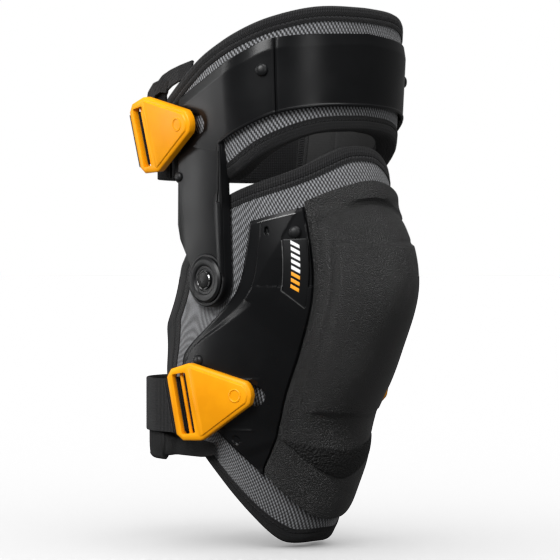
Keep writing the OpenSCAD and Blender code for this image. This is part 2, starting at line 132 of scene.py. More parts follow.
def inset_edge(t, table, width):
    """Height of the line that lies width inside the hem, as the hem steepens."""
    w = abs(t)
    rise = smooth(w + 1, table) - smooth(abs(w - 1), table)
    return smooth(w, table) + width * math.sqrt(1 + (rise / 3.2) ** 2)


def cap_out(u, z):
    """Height of the cap over the mesh; u runs from -1 to 1 between its sides."""
    return FACE + (smooth(z, CAP_RISE) - FACE) * (1 - abs(u) ** 2.4)


def cap_top(u):
    return 248 - 15 * abs(u) ** 1.6


def gel_swell(t, z):
    """1 at the middle of the kneecap, falling to 0 round it."""
    return (math.cos(math.radians(min(90, abs(t) * 1.8))) ** 2
            * math.cos(math.radians(min(90, abs(z - 165) * 1.06))) ** 2)


def facing(p, turn, dip=0.0):
    """Local +X forwards, +Y up and +Z outwards on a point of the right side."""
    return (Matrix.Translation(p) @ Matrix.Rotation(math.radians(-turn), 4, "Z")
            @ Matrix.Rotation(math.radians(90 + dip), 4, "X"))


UPPER_HOOK = facing(thigh(131, 287, FACE + 2.4), 93.5, 6.5)
LOWER_HOOK = facing(knee(63, 101.5, FACE + 1.5), 73, 3)
PIVOT = Matrix.Translation((0, HINGE_Y, HINGE_Z)) @ Matrix.Rotation(math.radians(-90), 4, "Y")


# ---- working on a mesh ----

def clear():
    """Object mode with nothing selected."""
    if bpy.context.object and bpy.context.object.mode != "OBJECT":
        bpy.ops.object.mode_set(mode="OBJECT")
    bpy.ops.object.select_all(action="DESELECT")


def pick(obj):
    clear()
    obj.select_set(True)
    bpy.context.view_layer.objects.active = obj


def edit(obj):
    """Edit mode with everything selected."""
    pick(obj)
    bpy.ops.object.mode_set(mode="EDIT")
    bpy.ops.mesh.select_all(action="SELECT")


def named(name):
    """Names the object that was just added."""
    obj = bpy.context.active_object
    obj.name = name
    obj.data.name = name
    return obj


def modify(obj, kind, **settings):
    """Adds one modifier and applies it."""
    pick(obj)
    m = obj.modifiers.new(kind.title(), kind)
    for key, value in settings.items():
        setattr(m, key, value)
    bpy.ops.object.modifier_apply(modifier=m.name)
    return obj


def thicken(obj, thickness, offset=-1.0):
    return modify(obj, "SOLIDIFY", thickness=thickness, offset=offset, use_even_offset=False,
                  use_quality_normals=True)


def soften(obj, width, segments=2, angle=35):
    return modify(obj, "BEVEL", width=width, segments=segments, limit_method="ANGLE",
                  angle_limit=math.radians(angle), use_clamp_overlap=True, harden_normals=False)


def smooth_over(obj, levels=1):
    return modify(obj, "SUBSURF", levels=levels, render_levels=levels)


def straighten(obj):
    """Merges doubles and turns every face outwards."""
    edit(obj)
    bpy.ops.mesh.remove_doubles(threshold=0.0005)
    bpy.ops.mesh.normals_make_consistent(inside=False)
    bpy.ops.object.mode_set(mode="OBJECT")
    return obj


def skin(name, nu, nv, where):
    """Adds a flat grid and lays it over a surface; its map follows the cloth's own lengths."""
    clear()
    bpy.ops.mesh.primitive_grid_add(x_subdivisions=nu, y_subdivisions=nv, size=1, location=(0, 0, 0))
    obj = named(name)
    mesh = obj.data
    flat = [(round(v.co.x + 0.5, 6), round(v.co.y + 0.5, 6)) for v in mesh.vertices]
    us, vs = sorted({f[0] for f in flat}), sorted({f[1] for f in flat})
    put = {(u, v): Vector(where(u, v)) for u in us for v in vs}
    along, up = {}, {}
    for v in vs:
        total = 0.0
        for i, u in enumerate(us):
            total += (put[u, v] - put[us[i - 1], v]).length if i else 0.0
            along[u, v] = total
        half = total / 2
        for u in us:
            along[u, v] -= half
    for u in us:
        total = 0.0
        for j, v in enumerate(vs):
            total += (put[u, v] - put[u, vs[j - 1]]).length if j else 0.0
            up[u, v] = total
    for v, f in zip(mesh.vertices, flat):
        v.co = put[f]
    layer = mesh.uv_layers.active or mesh.uv_layers.new(name="Cloth")
    for loop in mesh.loops:
        f = flat[loop.vertex_index]
        layer.data[loop.index].uv = (along[f] / 100, up[f] / 100)
    mesh.update()
    outward = sum(p.normal.dot(Vector((p.center.x, p.center.y + 5, 0))) * p.area for p in mesh.polygons)
    if outward < 0:
        mesh.flip_normals()
    return obj


def drawn(name, outline, height, base=0.0):
    """Draws an outline and raises it to a plate, in its own plane."""
    clear()
    bpy.ops.mesh.primitive_circle_add(vertices=len(outline), radius=1, fill_type="NGON", location=(0, 0, 0))
    obj = named(name)
    for v, p in zip(obj.data.vertices, outline):
        v.co = (p[0], p[1], base)
    edit(obj)
    bpy.ops.mesh.extrude_region_move(TRANSFORM_OT_translate={"value": (0, 0, height)})
    bpy.ops.object.mode_set(mode="OBJECT")
    return straighten(obj)


def edit_chosen(obj, parts, test, change):
    """Runs one change in edit mode on the chosen "edges" or "polygons" only."""
    modes = bpy.context.tool_settings
    edit(obj)
    bpy.ops.mesh.select_all(action="DESELECT")
    modes.mesh_select_mode = (False, parts == "edges", parts == "polygons")
    bpy.ops.object.mode_set(mode="OBJECT")
    for part in getattr(obj.data, parts):
        part.select = test(part)
    bpy.ops.object.mode_set(mode="EDIT")
    change()
    modes.mesh_select_mode = (True, False, False)
    bpy.ops.object.mode_set(mode="OBJECT")


def close_up(obj):
    """Fills every hole and turns every face outwards."""
    edit(obj)
    bpy.ops.mesh.fill_holes(sides=0)
    bpy.ops.mesh.normals_make_consistent(inside=False)
    bpy.ops.object.mode_set(mode="OBJECT")


def inset_top(obj, thickness, depth):
    """Insets the faces that look up and moves them by depth."""
    edit_chosen(obj, "polygons", lambda f: f.normal.z > 0.9,
                lambda: bpy.ops.mesh.inset(thickness=thickness, depth=depth))


def turned(name, profile, count=48):
    """Turns a profile of (radius, height) points about +Z, closed at both ends."""
    clear()
    bpy.ops.mesh.primitive_circle_add(vertices=count, radius=profile[0][0], location=(0, 0, 0))
    obj = named(name)
    for v in obj.data.vertices:
        v.co.z = profile[0][1]
    edit(obj)
    for (r0, z0), (r1, z1) in zip(profile, profile[1:]):
        bpy.ops.mesh.extrude_region_move(TRANSFORM_OT_translate={"value": (0, 0, z1 - z0)})
        bpy.ops.transform.resize(value=(r1 / r0, r1 / r0, 1), center_override=(0, 0, z1))
    bpy.ops.mesh.select_all(action="SELECT")
    if profile[0] != profile[-1]:
        bpy.ops.mesh.fill_holes(sides=0)
    bpy.ops.object.mode_set(mode="OBJECT")
    return straighten(obj)


def cut_out(obj, cutter):
    modify(obj, "BOOLEAN", operation="DIFFERENCE", solver="EXACT", object=cutter)
    bpy.data.objects.remove(cutter)
    return obj


def joined(name, *parts):
    clear()
    for p in parts:
        p.select_set(True)
    bpy.context.view_layer.objects.active = parts[0]
    if len(parts) > 1:
        bpy.ops.object.join()
    return named(name)


def moved(obj, matrix):
    """Moves the mesh itself; a mirroring matrix turns its faces back outwards."""
    obj.data.transform(matrix)
    if matrix.determinant() < 0:
        obj.data.flip_normals()
    return obj


def copied(obj, name, matrix=Matrix.Identity(4)):
    pick(obj)
    bpy.ops.object.duplicate()
    return moved(named(name), matrix)


FLIP = Matrix.Scale(-1, 4, (1, 0, 0))


def done(obj, finish, body, nodes, angle=38):
    """Moves a finished piece into the common frame, gives it its finish, hangs it on its body and hides the model
    parts it takes the place of.
    """
    moved(obj, TO_FRAME)
    obj.data.materials.clear()
    obj.data.materials.append(finish)
    pick(obj)
    bpy.ops.object.shade_smooth_by_angle(angle=math.radians(angle))
    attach(obj, body)
    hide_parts(*([nodes] if isinstance(nodes, str) else nodes))
    return obj


def both_sides(obj, name, finish, body, node, angle=38):
    """Finishes the right piece and its mirrored twin; node has no side letter."""
    twin = copied(obj, name + "_left", FLIP)
    obj.name = obj.data.name = name + "_right"
    done(obj, finish, body.replace("*", "right"), node + "_r", angle)
    done(twin, finish, body.replace("*", "left"), node + "_l", angle)


# ---- finishes ----

class Finish:
    """A material being put together: new() adds a node and wires what it is given."""

    def __init__(self, name, colour, rough, **sockets):
        self.mat = bpy.data.materials.new(name)
        self.mat.use_nodes = True
        self.tree = self.mat.node_tree
        self.main = self.tree.nodes["Principled BSDF"]
        self.main.inputs["Base Color"].default_value = (*colour, 1)
        self.main.inputs["Roughness"].default_value = rough
        for key, value in sockets.items():
            self.main.inputs[key.replace("_", " ")].default_value = value

    def new(self, kind, settings=None, **links):
        n = self.tree.nodes.new("ShaderNode" + kind)
        for key, value in (settings or {}).items():
            setattr(n, key, value)
        for key, value in links.items():
            numbered = key[0] == "i" and key[1:].isdigit()
            socket = n.inputs[int(key[1:]) if numbered else key.replace("_", " ")]
            if isinstance(value, bpy.types.NodeSocket):
                self.tree.links.new(value, socket)
            else:
                socket.default_value = value
        return n.outputs[0]

    def math(self, operation, a, b=0.0):
        return self.new("Math", {"operation": operation}, i0=a, i1=b)

    def place(self, kind="Object"):
        n = self.tree.nodes.new("ShaderNodeTexCoord")
        return n.outputs[kind]

    def split(self, vector):
        n = self.tree.nodes.new("ShaderNodeSeparateXYZ")
        self.tree.links.new(vector, n.inputs[0])
        return n.outputs[0], n.outputs[1], n.outputs[2]

    def tint(self, fac, *stops):
        n = self.tree.nodes.new("ShaderNodeValToRGB")
        self.tree.links.new(fac, n.inputs[0])
        while len(n.color_ramp.elements) < len(stops):
            n.color_ramp.elements.new(0.5)
        for e, (pos, col) in zip(n.color_ramp.elements, stops):
            e.position = pos
            e.color = (*col, 1)
        return n.outputs[0]

    def noise(self, scale, detail=2.0):
        return self.new("TexNoise", Vector=self.place(), Scale=scale, Detail=detail, Roughness=0.5)

    def bump(self, height, strength, distance):
        return self.new("Bump", Strength=strength, Distance=distance, Height=height)

    def into(self, socket, value):
        self.tree.links.new(value, self.main.inputs[socket])


def grey(v):
    return (v, v, v)


def moulded(name, colour, rough, grain=2600, depth=0.00006, shine=0.5):
    """Injection-moulded plastic with a fine spark grain and faint rubbing."""
    f = Finish(name, colour, rough, Specular_IOR_Level=shine)
    fine = f.noise(grain, 3)
    broad = f.noise(28, 4)
    light = tuple(min(1, c + c * 0.10) for c in colour)
    dark = tuple(c * 0.86 for c in colour)
    f.into("Base Color", f.tint(broad, (0.35, dark), (0.7, light)))
    f.into("Roughness", f.new("MapRange", None, Value=broad, From_Min=0.3, From_Max=0.7,
                              To_Min=max(0.05, rough - 0.05), To_Max=rough + 0.07))
    f.into("Normal", f.bump(fine, 0.35, depth))
    return f.mat


def weave(name, dark, light, pitch, rough=0.8, slant=True, depth=0.0004, sheen=0.25):
    """Coarse knitted mesh: crossing threads with dark eyes between them. pitch is in millimetres."""
    f = Finish(name, light, rough, Sheen_Weight=sheen, Sheen_Roughness=0.5)
    u, v, _ = f.split(f.place("UV"))
    k = 200 * math.pi / pitch
    a = f.math("ADD", u, f.math("MULTIPLY", v, 0.62)) if slant else u
    b = f.math("SUBTRACT", u, f.math("MULTIPLY", v, 0.62)) if slant else v
    one = f.math("SINE", f.math("MULTIPLY", a, k))
    two = f.math("SINE", f.math("MULTIPLY", b, k))
    cross = f.math("ADD", f.math("ADD", f.math("MULTIPLY", one, 0.32), f.math("MULTIPLY", two, 0.17)), 0.5)
    fuzz = f.noise(900, 3)
    mixd = f.math("ADD", cross, f.math("MULTIPLY", f.math("SUBTRACT", fuzz, 0.5), 0.5))
    f.into("Base Color", f.tint(mixd, (0.30, dark), (0.50, tuple(mix(a, b, 0.28) for a, b in zip(dark, light))),
                                (0.85, light)))
    f.into("Normal", f.bump(mixd, 0.8, depth))
    return f.mat


def twill(name, colour, pitch=1.8, stitch=None, rough=0.75, lift=4.0, sheen=0.06, slant=1.4):
    """Ribbed tape: slanted ribs along the tape and, if given, a row of stitches at that depth in mm. Its colour
    follows the rib height: lift sets a painted highlight on the rib crests, and the grooves and stitch holes are
    painted darker as shade.
    """
    f = Finish(name, colour, rough, Sheen_Weight=sheen, Sheen_Roughness=0.45, Specular_IOR_Level=0.25)
    u, v, _ = f.split(f.place("UV"))
    k = 200 * math.pi / pitch
    rib = f.math("SINE", f.math("MULTIPLY", f.math("ADD", u, f.math("MULTIPLY", v, slant)), k))
    tick = f.math("SINE", f.math("MULTIPLY", v, k * 0.8))
    h = f.math("ADD", f.math("MULTIPLY", rib, 0.36), f.math("MULTIPLY", tick, 0.10))
    h = f.math("ADD", h, f.math("MULTIPLY", f.noise(1100, 3), 0.5))
    top = tuple(c * lift for c in colour)
    if stitch:
        near = f.math("ABSOLUTE", f.math("SUBTRACT", v, stitch / 100))
        line = f.new("MapRange", None, Value=near, From_Min=0.006, From_Max=0.003, To_Min=0.0, To_Max=1.0)
        dash = f.math("GREATER_THAN", f.math("SINE", f.math("MULTIPLY", u, 200 * math.pi / 3.2)), -0.35)
        thread = f.math("MULTIPLY", line, dash)
        hole = f.math("SUBTRACT", line, thread)
        h = f.math("ADD", h, f.math("MULTIPLY", thread, 0.5))
        h = f.math("SUBTRACT", h, f.math("MULTIPLY", hole, 1.2))
    # Painted light: rib crests are painted lighter as highlight (lift) and grooves and stitch holes darker as
    # shade; the noise adds random tone.
    f.into("Base Color", f.tint(h, (0.0, tuple(c * 0.4 for c in colour)), (0.35, colour), (0.8, top)))
    f.into("Normal", f.bump(h, 1.0, 0.0006))
    return f.mat


def grained(name, colour, rough, scale, depth, strength=0.9, shine=0.5):
    """Rubber with a raised pebble grain."""
    f = Finish(name, colour, rough, Specular_IOR_Level=shine)
    fine = f.noise(scale * 1.7, 3)
    cells = f.new("TexVoronoi", {"feature": "F1"}, Vector=f.place(), Scale=scale)
    h = f.math("SUBTRACT", f.math("MULTIPLY", fine, 0.9), cells)
    broad = f.noise(22, 3)
    dark, light = tuple(c * 0.85 for c in colour), tuple(c * 1.25 for c in colour)
    f.into("Base Color", f.tint(broad, (0.3, dark), (0.75, light)))
    f.into("Roughness", f.new("MapRange", None, Value=fine, From_Min=0.3, From_Max=0.7,
                              To_Min=rough - 0.08, To_Max=rough + 0.08))
    f.into("Normal", f.bump(h, strength, depth))
    return f.mat


def foam_finish(name, colour):
    f = Finish(name, colour, 0.95)
    cells = f.new("TexVoronoi", None, Vector=f.place(), Scale=700.0)
    # Painted shade: the colour follows the cell pits of the bump, so the pits are painted darker.
    f.into("Base Color", f.tint(cells, (0.1, tuple(c * 0.7 for c in colour)), (0.7, colour)))
    f.into("Normal", f.bump(cells, 0.6, 0.0004))
    return f.mat


def steel(name, colour, rough):
    f = Finish(name, colour, rough, Metallic=1.0)
    f.into("Roughness", f.new("MapRange", None, Value=f.noise(300, 3), From_Min=0.3, From_Max=0.7,
                              To_Min=rough - 0.06, To_Max=rough + 0.1))
    f.into("Normal", f.bump(f.noise(1500, 2), 0.2, 0.00003))
    return f.mat


FINISHES = {}


def finish(name):
    return FINISHES[name]


def mix_finishes(c):
    """Makes every material once, from the panel's colours."""
    FINISHES.update(
        shell=moulded("satin_black_plastic", tuple(c.shell), 0.31, shine=0.18),
        plate=moulded("side_plate_plastic", tuple(c.shell), 0.29, grain=2200, shine=0.18),
        disc=moulded("hinge_disc_plastic", tuple(v * 1.2 for v in c.shell), 0.38, shine=0.3),
        cap=grained("grained_cap_rubber", tuple(c.cap), 0.36, 1250, 0.0009, 1.0),
        grip=grained("coarse_grip_rubber", tuple(v * 0.3 for v in c.cap), 0.6, 620, 0.0012, 1.0, 0.3),
        mesh=weave("charcoal_woven_mesh", grey(0.006), tuple(c.mesh), 2.7, depth=0.0006),
        twill=twill("black_twill_binding", tuple(c.binding), stitch=3.4),
        webbing=twill("black_elastic_webbing", tuple(c.webbing), pitch=1.5, slant=0.0, lift=2.2),
        sleeve=twill("strap_sleeve_cloth", tuple(v * 0.9 for v in c.webbing), pitch=0.8, slant=1.0, lift=1.8),
        lining=weave("smooth_dark_lining", grey(0.006), grey(0.022), 1.2, 0.85, False, 0.0002, 0.1),
        foam=foam_finish("closed_cell_foam", grey(0.09)),
        gel=moulded("gel_pad", (0.06, 0.12, 0.2), 0.3),
        buckle=moulded("yellow_orange_plastic", tuple(c.buckle), 0.42, grain=1800, depth=0.00005, shine=0.2),
        white=moulded("badge_white_ink", grey(0.82), 0.45),
        amber=moulded("badge_amber_ink", (0.92, 0.36, 0.01), 0.45),
        silver=steel("badge_grey_rim", grey(0.2), 0.35),
        post=steel("black_snap_rivet", grey(0.03), 0.4),
        ring=steel("snap_rivet_ring", grey(0.42), 0.28),
        washer=moulded("nylon_washer", grey(0.45), 0.5),
    )


# ---- what a user would change ----

class KneePadSizes(bpy.types.PropertyGroup):
    mesh_thick: bpy.props.FloatProperty(
        name="Mesh cover", description="Thickness of the woven mesh cover", default=0.0012, min=0.0006,
        max=0.003, unit="LENGTH")
    binding_wide: bpy.props.FloatProperty(
        name="Binding", description="Width of the tape showing on each side of an edge", default=0.0105,
        min=0.006, max=0.014, unit="LENGTH")
    plate_thick: bpy.props.FloatProperty(
        name="Plates", description="Thickness of the hard plates", default=0.0031, min=0.002, max=0.004,
        unit="LENGTH")
    cap_thick: bpy.props.FloatProperty(
        name="Cap wall", description="Wall of the knee cap", default=0.0031, min=0.002, max=0.0035, unit="LENGTH")
    webbing_thick: bpy.props.FloatProperty(
        name="Webbing", description="Thickness of the straps", default=0.0022, min=0.0012, max=0.003,
        unit="LENGTH")
    panel_rise: bpy.props.FloatProperty(
        name="Cap panel", description="How far the raised panel stands out of the cap", default=0.0013,
        min=0.0, max=0.002, unit="LENGTH")


class KneePadColours(bpy.types.PropertyGroup):
    shell: bpy.props.FloatVectorProperty(
        name="Shell", description="Hard plates and arms", default=(0.0045, 0.0047, 0.0052), min=0, max=1,
        subtype="COLOR")
    cap: bpy.props.FloatVectorProperty(
        name="Cap", description="Rubber of the knee cap", default=(0.0105, 0.0105, 0.0105), min=0, max=1,
        subtype="COLOR")
    mesh: bpy.props.FloatVectorProperty(
        name="Mesh", description="Light thread of the woven mesh", default=(0.26, 0.265, 0.28), min=0, max=1,
        subtype="COLOR")
    binding: bpy.props.FloatVectorProperty(
        name="Binding", description="Twill tape", default=(0.0055, 0.0055, 0.006), min=0, max=1, subtype="COLOR")
    webbing: bpy.props.FloatVectorProperty(
        name="Webbing", description="Elastic straps", default=(0.0055, 0.0055, 0.0062), min=0, max=1,
        subtype="COLOR")
    buckle: bpy.props.FloatVectorProperty(
        name="Buckles", description="Moulded hook buckles", default=(1.0, 0.37, 0.002), min=0, max=1,
        subtype="COLOR")


def sizes():
    return bpy.context.scene.knee_pad_sizes


# ---- padding ----

def inset_top_edge(t, table, width):
    """inset_edge for an upper hem: the line lies below it."""
    return 2 * smooth(abs(t), table) - inset_edge(t, table, width)


def knee_field(d, reach=5.0, span=116.5):
    """Surface of the lower padding at depth d; reach is how far it runs under the binding."""
    def where(u, v):
        t = mix(span, -span, u)
        low = inset_edge(t, KNEE_LOW, TAPE_WIDE - reach)
        top = inset_top_edge(t, KNEE_TOP, TAPE_WIDE - reach)
        z = mix(low, max(top, low + 2), v)
        return knee(t, z, d)
    return where


def thigh_field(d, reach=5.0, span=150.0, seams=0.0):
    """Surface of the cuff's padding at depth d; seams is the depth of its two quilted lines."""
    def where(u, v):
        t = mix(span, -span, u)
        low = inset_edge(t, THIGH_LOW, TAPE_WIDE - reach)
        top = inset_top_edge(t, THIGH_TOP, TAPE_WIDE - reach)
        pull = seams * sum(math.exp(-((abs(t) - s) / 1.6) ** 2) for s in (62, 118))
        return thigh(t, mix(low, top, v), d + pull)
    return where


class PADDING_OT_knee(bpy.types.Operator):
    """Foam, gel, lining and mesh cover of the shin and knee unit"""
    bl_idname = "knee_pad.knee_padding"
    bl_label = "Knee padding"

    def execute(self, context):
        s = sizes()
        foam = skin("knee_foam_pad", 96, 60, knee_field(-1.5, 3.0))
        thicken(foam, 10.0)
        soften(foam, 2.2, 2)
        done(foam, finish("foam"), "knee_unit", "knee_foam")
        cover = skin("knee_mesh_cover", 132, 84, knee_field(0.0))
        hole = turned("post_hole", [(4.7, 58), (4.7, 76)], 32)
        other = copied(hole, "post_hole_left", PIVOT)
        moved(hole, FLIP @ PIVOT)
        thicken(cover, s.mesh_thick * MM)
        for c in (hole, other):
            cut_out(cover, c)
        done(cover, finish("mesh"), "knee_unit", "knee_mesh")

        def lining(u, v):
            t = mix(116.0, -116.0, u)
            low, top = inset_edge(t, KNEE_LOW, 5), inset_top_edge(t, KNEE_TOP, 5)
            z = mix(low, max(top, low + 2), v)
            rim = math.exp(-((abs(t) - 44) / 1.5) ** 2) * ramp(z, 100, 108) * (1 - ramp(z, 222, 230))
            bars = sum(math.exp(-((z - h) / 1.4) ** 2) for h in (70, 42)) * (1 - ramp(abs(t), 70, 84))
            return knee(t, z, -12.0 - 9 * gel_swell(t, z) + 1.0 * max(rim, bars))
        liner = skin("knee_quilted_lining", 132, 100, lining)
        thicken(liner, 1.1)
        done(liner, finish("lining"), "knee_unit", "knee_liner")

        def gel_back(u, v):
            t, z = mix(27, -27, u), mix(120, 210, v)
            edge = ramp(1 - abs(2 * u - 1), 0, 0.12) * ramp(1 - abs(2 * v - 1), 0, 0.1)
            return knee(t, z, -12.4 - (9 * gel_swell(t, z) - 1.2) * edge * 0.5)
        gel = skin("knee_gel_pad", 30, 34, gel_back)
        thicken(gel, 1.2)
        soften(gel, 0.5, 2)
        done(gel, finish("gel"), "knee_unit", "knee_gel")

        def core(u, v):
            w, z = mix(-0.88, 0.88, u), mix(100, 217, v)
            low = max(1.4, cap_out(w, z) - 5.2)
            round_off = min(1.0, 4 * u, 4 - 4 * u, 5 * v, 5 - 5 * v) ** 0.5
            return knee(w * smooth(z, CAP_SIDE), z, 1.2 + (low - 1.2) * round_off)
        block = skin("cap_foam_core", 30, 34, core)
        thicken(block, 0.6)
        done(block, finish("foam"), "knee_unit", "cap_core")
        return {"FINISHED"}


class PADDING_OT_thigh(bpy.types.Operator):
    """Foam, lining and mesh cover of the thigh cuff"""
    bl_idname = "knee_pad.thigh_padding"
    bl_label = "Thigh padding"

    def execute(self, context):
        s = sizes()
        foam = skin("thigh_foam_pad", 110, 24, thigh_field(-1.5, 3.0))
        thicken(foam, 10.0)
        soften(foam, 2.2, 2)
        done(foam, finish("foam"), "thigh_unit", "thigh_foam")
        cover = skin("thigh_mesh_cover", 150, 36, thigh_field(0.0))
        thicken(cover, s.mesh_thick * MM)
        done(cover, finish("mesh"), "thigh_unit", "thigh_mesh")
        liner = skin("thigh_quilted_lining", 180, 36, thigh_field(-12.0, seams=1.2))
        thicken(liner, 1.1)
        done(liner, finish("lining"), "thigh_unit", "thigh_liner")
        return {"FINISHED"}


# ---- bindings ----

TAPE = ((1.0, 0.05), (0.985, 0.75), (0.88, 0.95), (0.70, 0.95), (0.665, 0.62), (0.63, 0.95), (0.42, 1.0),
        (0.22, 0.85), (0.09, 0.25), (0.02, -1.1), (0.0, -3.2), (0.0, -BACK + 3.2), (0.02, -BACK + 1.1),
        (0.09, -BACK - 0.2), (0.25, -BACK - 0.55), (0.63, -BACK - 0.6), (0.665, -BACK - 0.3), (0.70, -BACK - 0.6),
        (0.97, -BACK - 0.5), (1.0, -BACK + 0.2))


def hem_loop(top, low, span, surface, step=2.2, passes=3):
    """Points (t, z) all round a pad's edge, evenly spaced, with the corners eased."""
    path = [(t, smooth(abs(t), top)) for t in range(-span, span + 1)]
    rear = [(span, z) for z in range(int(smooth(span, top)) - 1, int(smooth(span, low)), -2)]
    path += rear
    path += [(t, smooth(abs(t), low)) for t in range(span, -span - 1, -1)]
    path += [(-t, z) for t, z in reversed(rear)]
    points = [Vector(surface(t, z, 0)) for t, z in path]
    gaps = [(points[(i + 1) % len(points)] - p).length for i, p in enumerate(points)]
    count = int(sum(gaps) / step)
    out, i, walked = [], 0, 0.0
    for k in range(count):
        goal = sum(gaps) * k / count
        while walked + gaps[i] < goal:
            walked += gaps[i]
            i += 1
        f = (goal - walked) / gaps[i]
        a, b = path[i], path[(i + 1) % len(path)]
        out.append((mix(a[0], b[0], f), mix(a[1], b[1], f)))
    for _ in range(passes):
        out = [((out[k - 1][0] + 2 * p[0] + out[(k + 1) % count][0]) / 4,
                (out[k - 1][1] + 2 * p[1] + out[(k + 1) % count][1]) / 4) for k, p in enumerate(out)]
    return out


def binding(name, loop, surface, wide, rear=(200, 1.0)):
    """Tape folded over the edge all round: a grid wrapped round the edge and closed both ways.

    Behind rear[0] degrees the tape is rear[1] times as wide.
    """
    n, m = len(loop), len(TAPE)
    inward = []
    for k, (t, z) in enumerate(loop):
        a, b = loop[k - 2], loop[(k + 2) % n]
        per = (surface(t + 0.5, z, 0) - surface(t - 0.5, z, 0)).length
        dt, dz = (b[0] - a[0]) * per, b[1] - a[1]
        size = math.hypot(dt, dz)
        inward.append((dz / size / per, -dt / size))

    def where(u, v):
        k = int(round(u * n)) % n
        w, d = TAPE[int(round(v * m)) % m]
        t, z = loop[k]
        w *= wide * mix(1, rear[1], ramp(abs(t), rear[0] - 12, rear[0]))
        return surface(t + inward[k][0] * w, z + inward[k][1] * w, d)
    return straighten(skin(name, n, m, where))


class BINDING_OT_tapes(bpy.types.Operator):
    """Stitched twill tape folded over the edges of both pads"""
    bl_idname = "knee_pad.bindings"
    bl_label = "Bindings"

    def execute(self, context):
        wide = sizes().binding_wide * MM
        low = binding("knee_twill_binding", hem_loop(KNEE_TOP, KNEE_LOW, KNEE_REAR, knee), knee, wide,
                      (118, 1.5))
        done(low, finish("twill"), "knee_unit",
             ("knee_edge_top", "knee_edge_bottom", "knee_edge_rear_r", "knee_edge_rear_l"), 50)
        top = binding("thigh_twill_binding", hem_loop(THIGH_TOP, THIGH_LOW, THIGH_REAR, thigh), thigh, wide)
        done(top, finish("twill"), "thigh_unit",
             ("thigh_edge_top", "thigh_edge_bottom", "thigh_edge_rear_r", "thigh_edge_rear_l"), 50)
        return {"FINISHED"}


# ---- cap ----

def panel_shape(t, z):
    """0 outside the cap's raised panel, 1 inside."""
    side = ramp(29.5 - abs(t), 0, 1.6 if z > 160 else mix(6, 1.6, max(0, (z - 90) / 70)))
    return side * ramp(204.6 - z, 0, 1.4) * ramp(z, 86.5 + abs(t) * 0.10, 88.3 + abs(t) * 0.10)


class CAP_OT_dome(bpy.types.Operator):
    """Grained rubber knee cap with its flange, raised panel and side ribs"""
    bl_idname = "knee_pad.knee_cap"
    bl_label = "Knee cap"

    def execute(self, context):
        rise = sizes().panel_rise * MM

        def where(u, v):
            w = mix(1, -1, u)
            z = mix(smooth(abs(w), CAP_LOW), cap_top(w), v)
            t = w * smooth(z, CAP_SIDE)
            d = cap_out(w, z) + rise * panel_shape(t, z)
            d -= 0.9 * math.exp(-((abs(t) - 30.6) / 1.1) ** 2) * ramp(z, 90, 96) * (1 - ramp(z, 203, 206))
            d -= 0.6 * math.exp(-((z - 206.0) / 1.1) ** 2) * (1 - ramp(abs(t), 29.5, 32))
            crest = z - (cap_top(w) - 12.5 - 3.5 * abs(w) ** 2)
            d += 0.9 * ramp(crest, -0.3, 1.0) - 0.8 * math.exp(-((crest + 3.2) / 2.4) ** 2) * (1 - abs(w) ** 4)
            d -= 0.9 * math.exp(-((z - 84.6 - abs(t) * 0.10) / 1.5) ** 2) * (1 - ramp(abs(t), 22, 27))
            d += 0.7 * math.exp(-((abs(w) - 0.955) / 0.016) ** 2) * ramp(z, 52, 62) * (1 - ramp(z, 224, 232))
            d -= 0.5 * math.exp(-((abs(w) - 0.90) / 0.022) ** 2) * ramp(z, 52, 62) * (1 - ramp(z, 224, 232))
            return knee(t, z, d)
        cap = skin("knee_cap_dome", 150, 200, where)
        thicken(cap, sizes().cap_thick * MM)
        soften(cap, 0.9, 2, 50)
        done(cap, finish("cap"), "knee_unit", "knee_cap", 40)

        def inlay(u, v):
            w = mix(1, -1, u)
            z = mix(mix(43, 58, abs(w) ** 1.8), mix(63, 72, abs(w) ** 1.6), v)
            t = w * mix(28.5, 39.5, v)
            bulge = 0.55 + 0.45 * math.sqrt(max(0, 1 - (2 * v - 1) ** 2)) * (1 - w ** 6)
            return knee(t, z, cap_out(t / smooth(z, CAP_SIDE), z) + 0.9 * bulge)
        grip = skin("cap_grip_inlay", 60, 22, inlay)
        thicken(grip, 1.6)
        soften(grip, 0.4, 2, 50)
        done(grip, finish("grip"), "knee_unit", "cap_grip", 50)
        return {"FINISHED"}


# ---- side plates ----

def line_side(t, z, a, b):
    """Signed distance in mm from the line a-b, positive on its left, for points given as (t, z)."""
    ax, ay, bx, by = a[0] * MM_PER_DEG, a[1], b[0] * MM_PER_DEG, b[1]
    n = math.hypot(bx - ax, by - ay)
    return ((bx - ax) * (z - ay) - (by - ay) * (t * MM_PER_DEG - ax)) / n


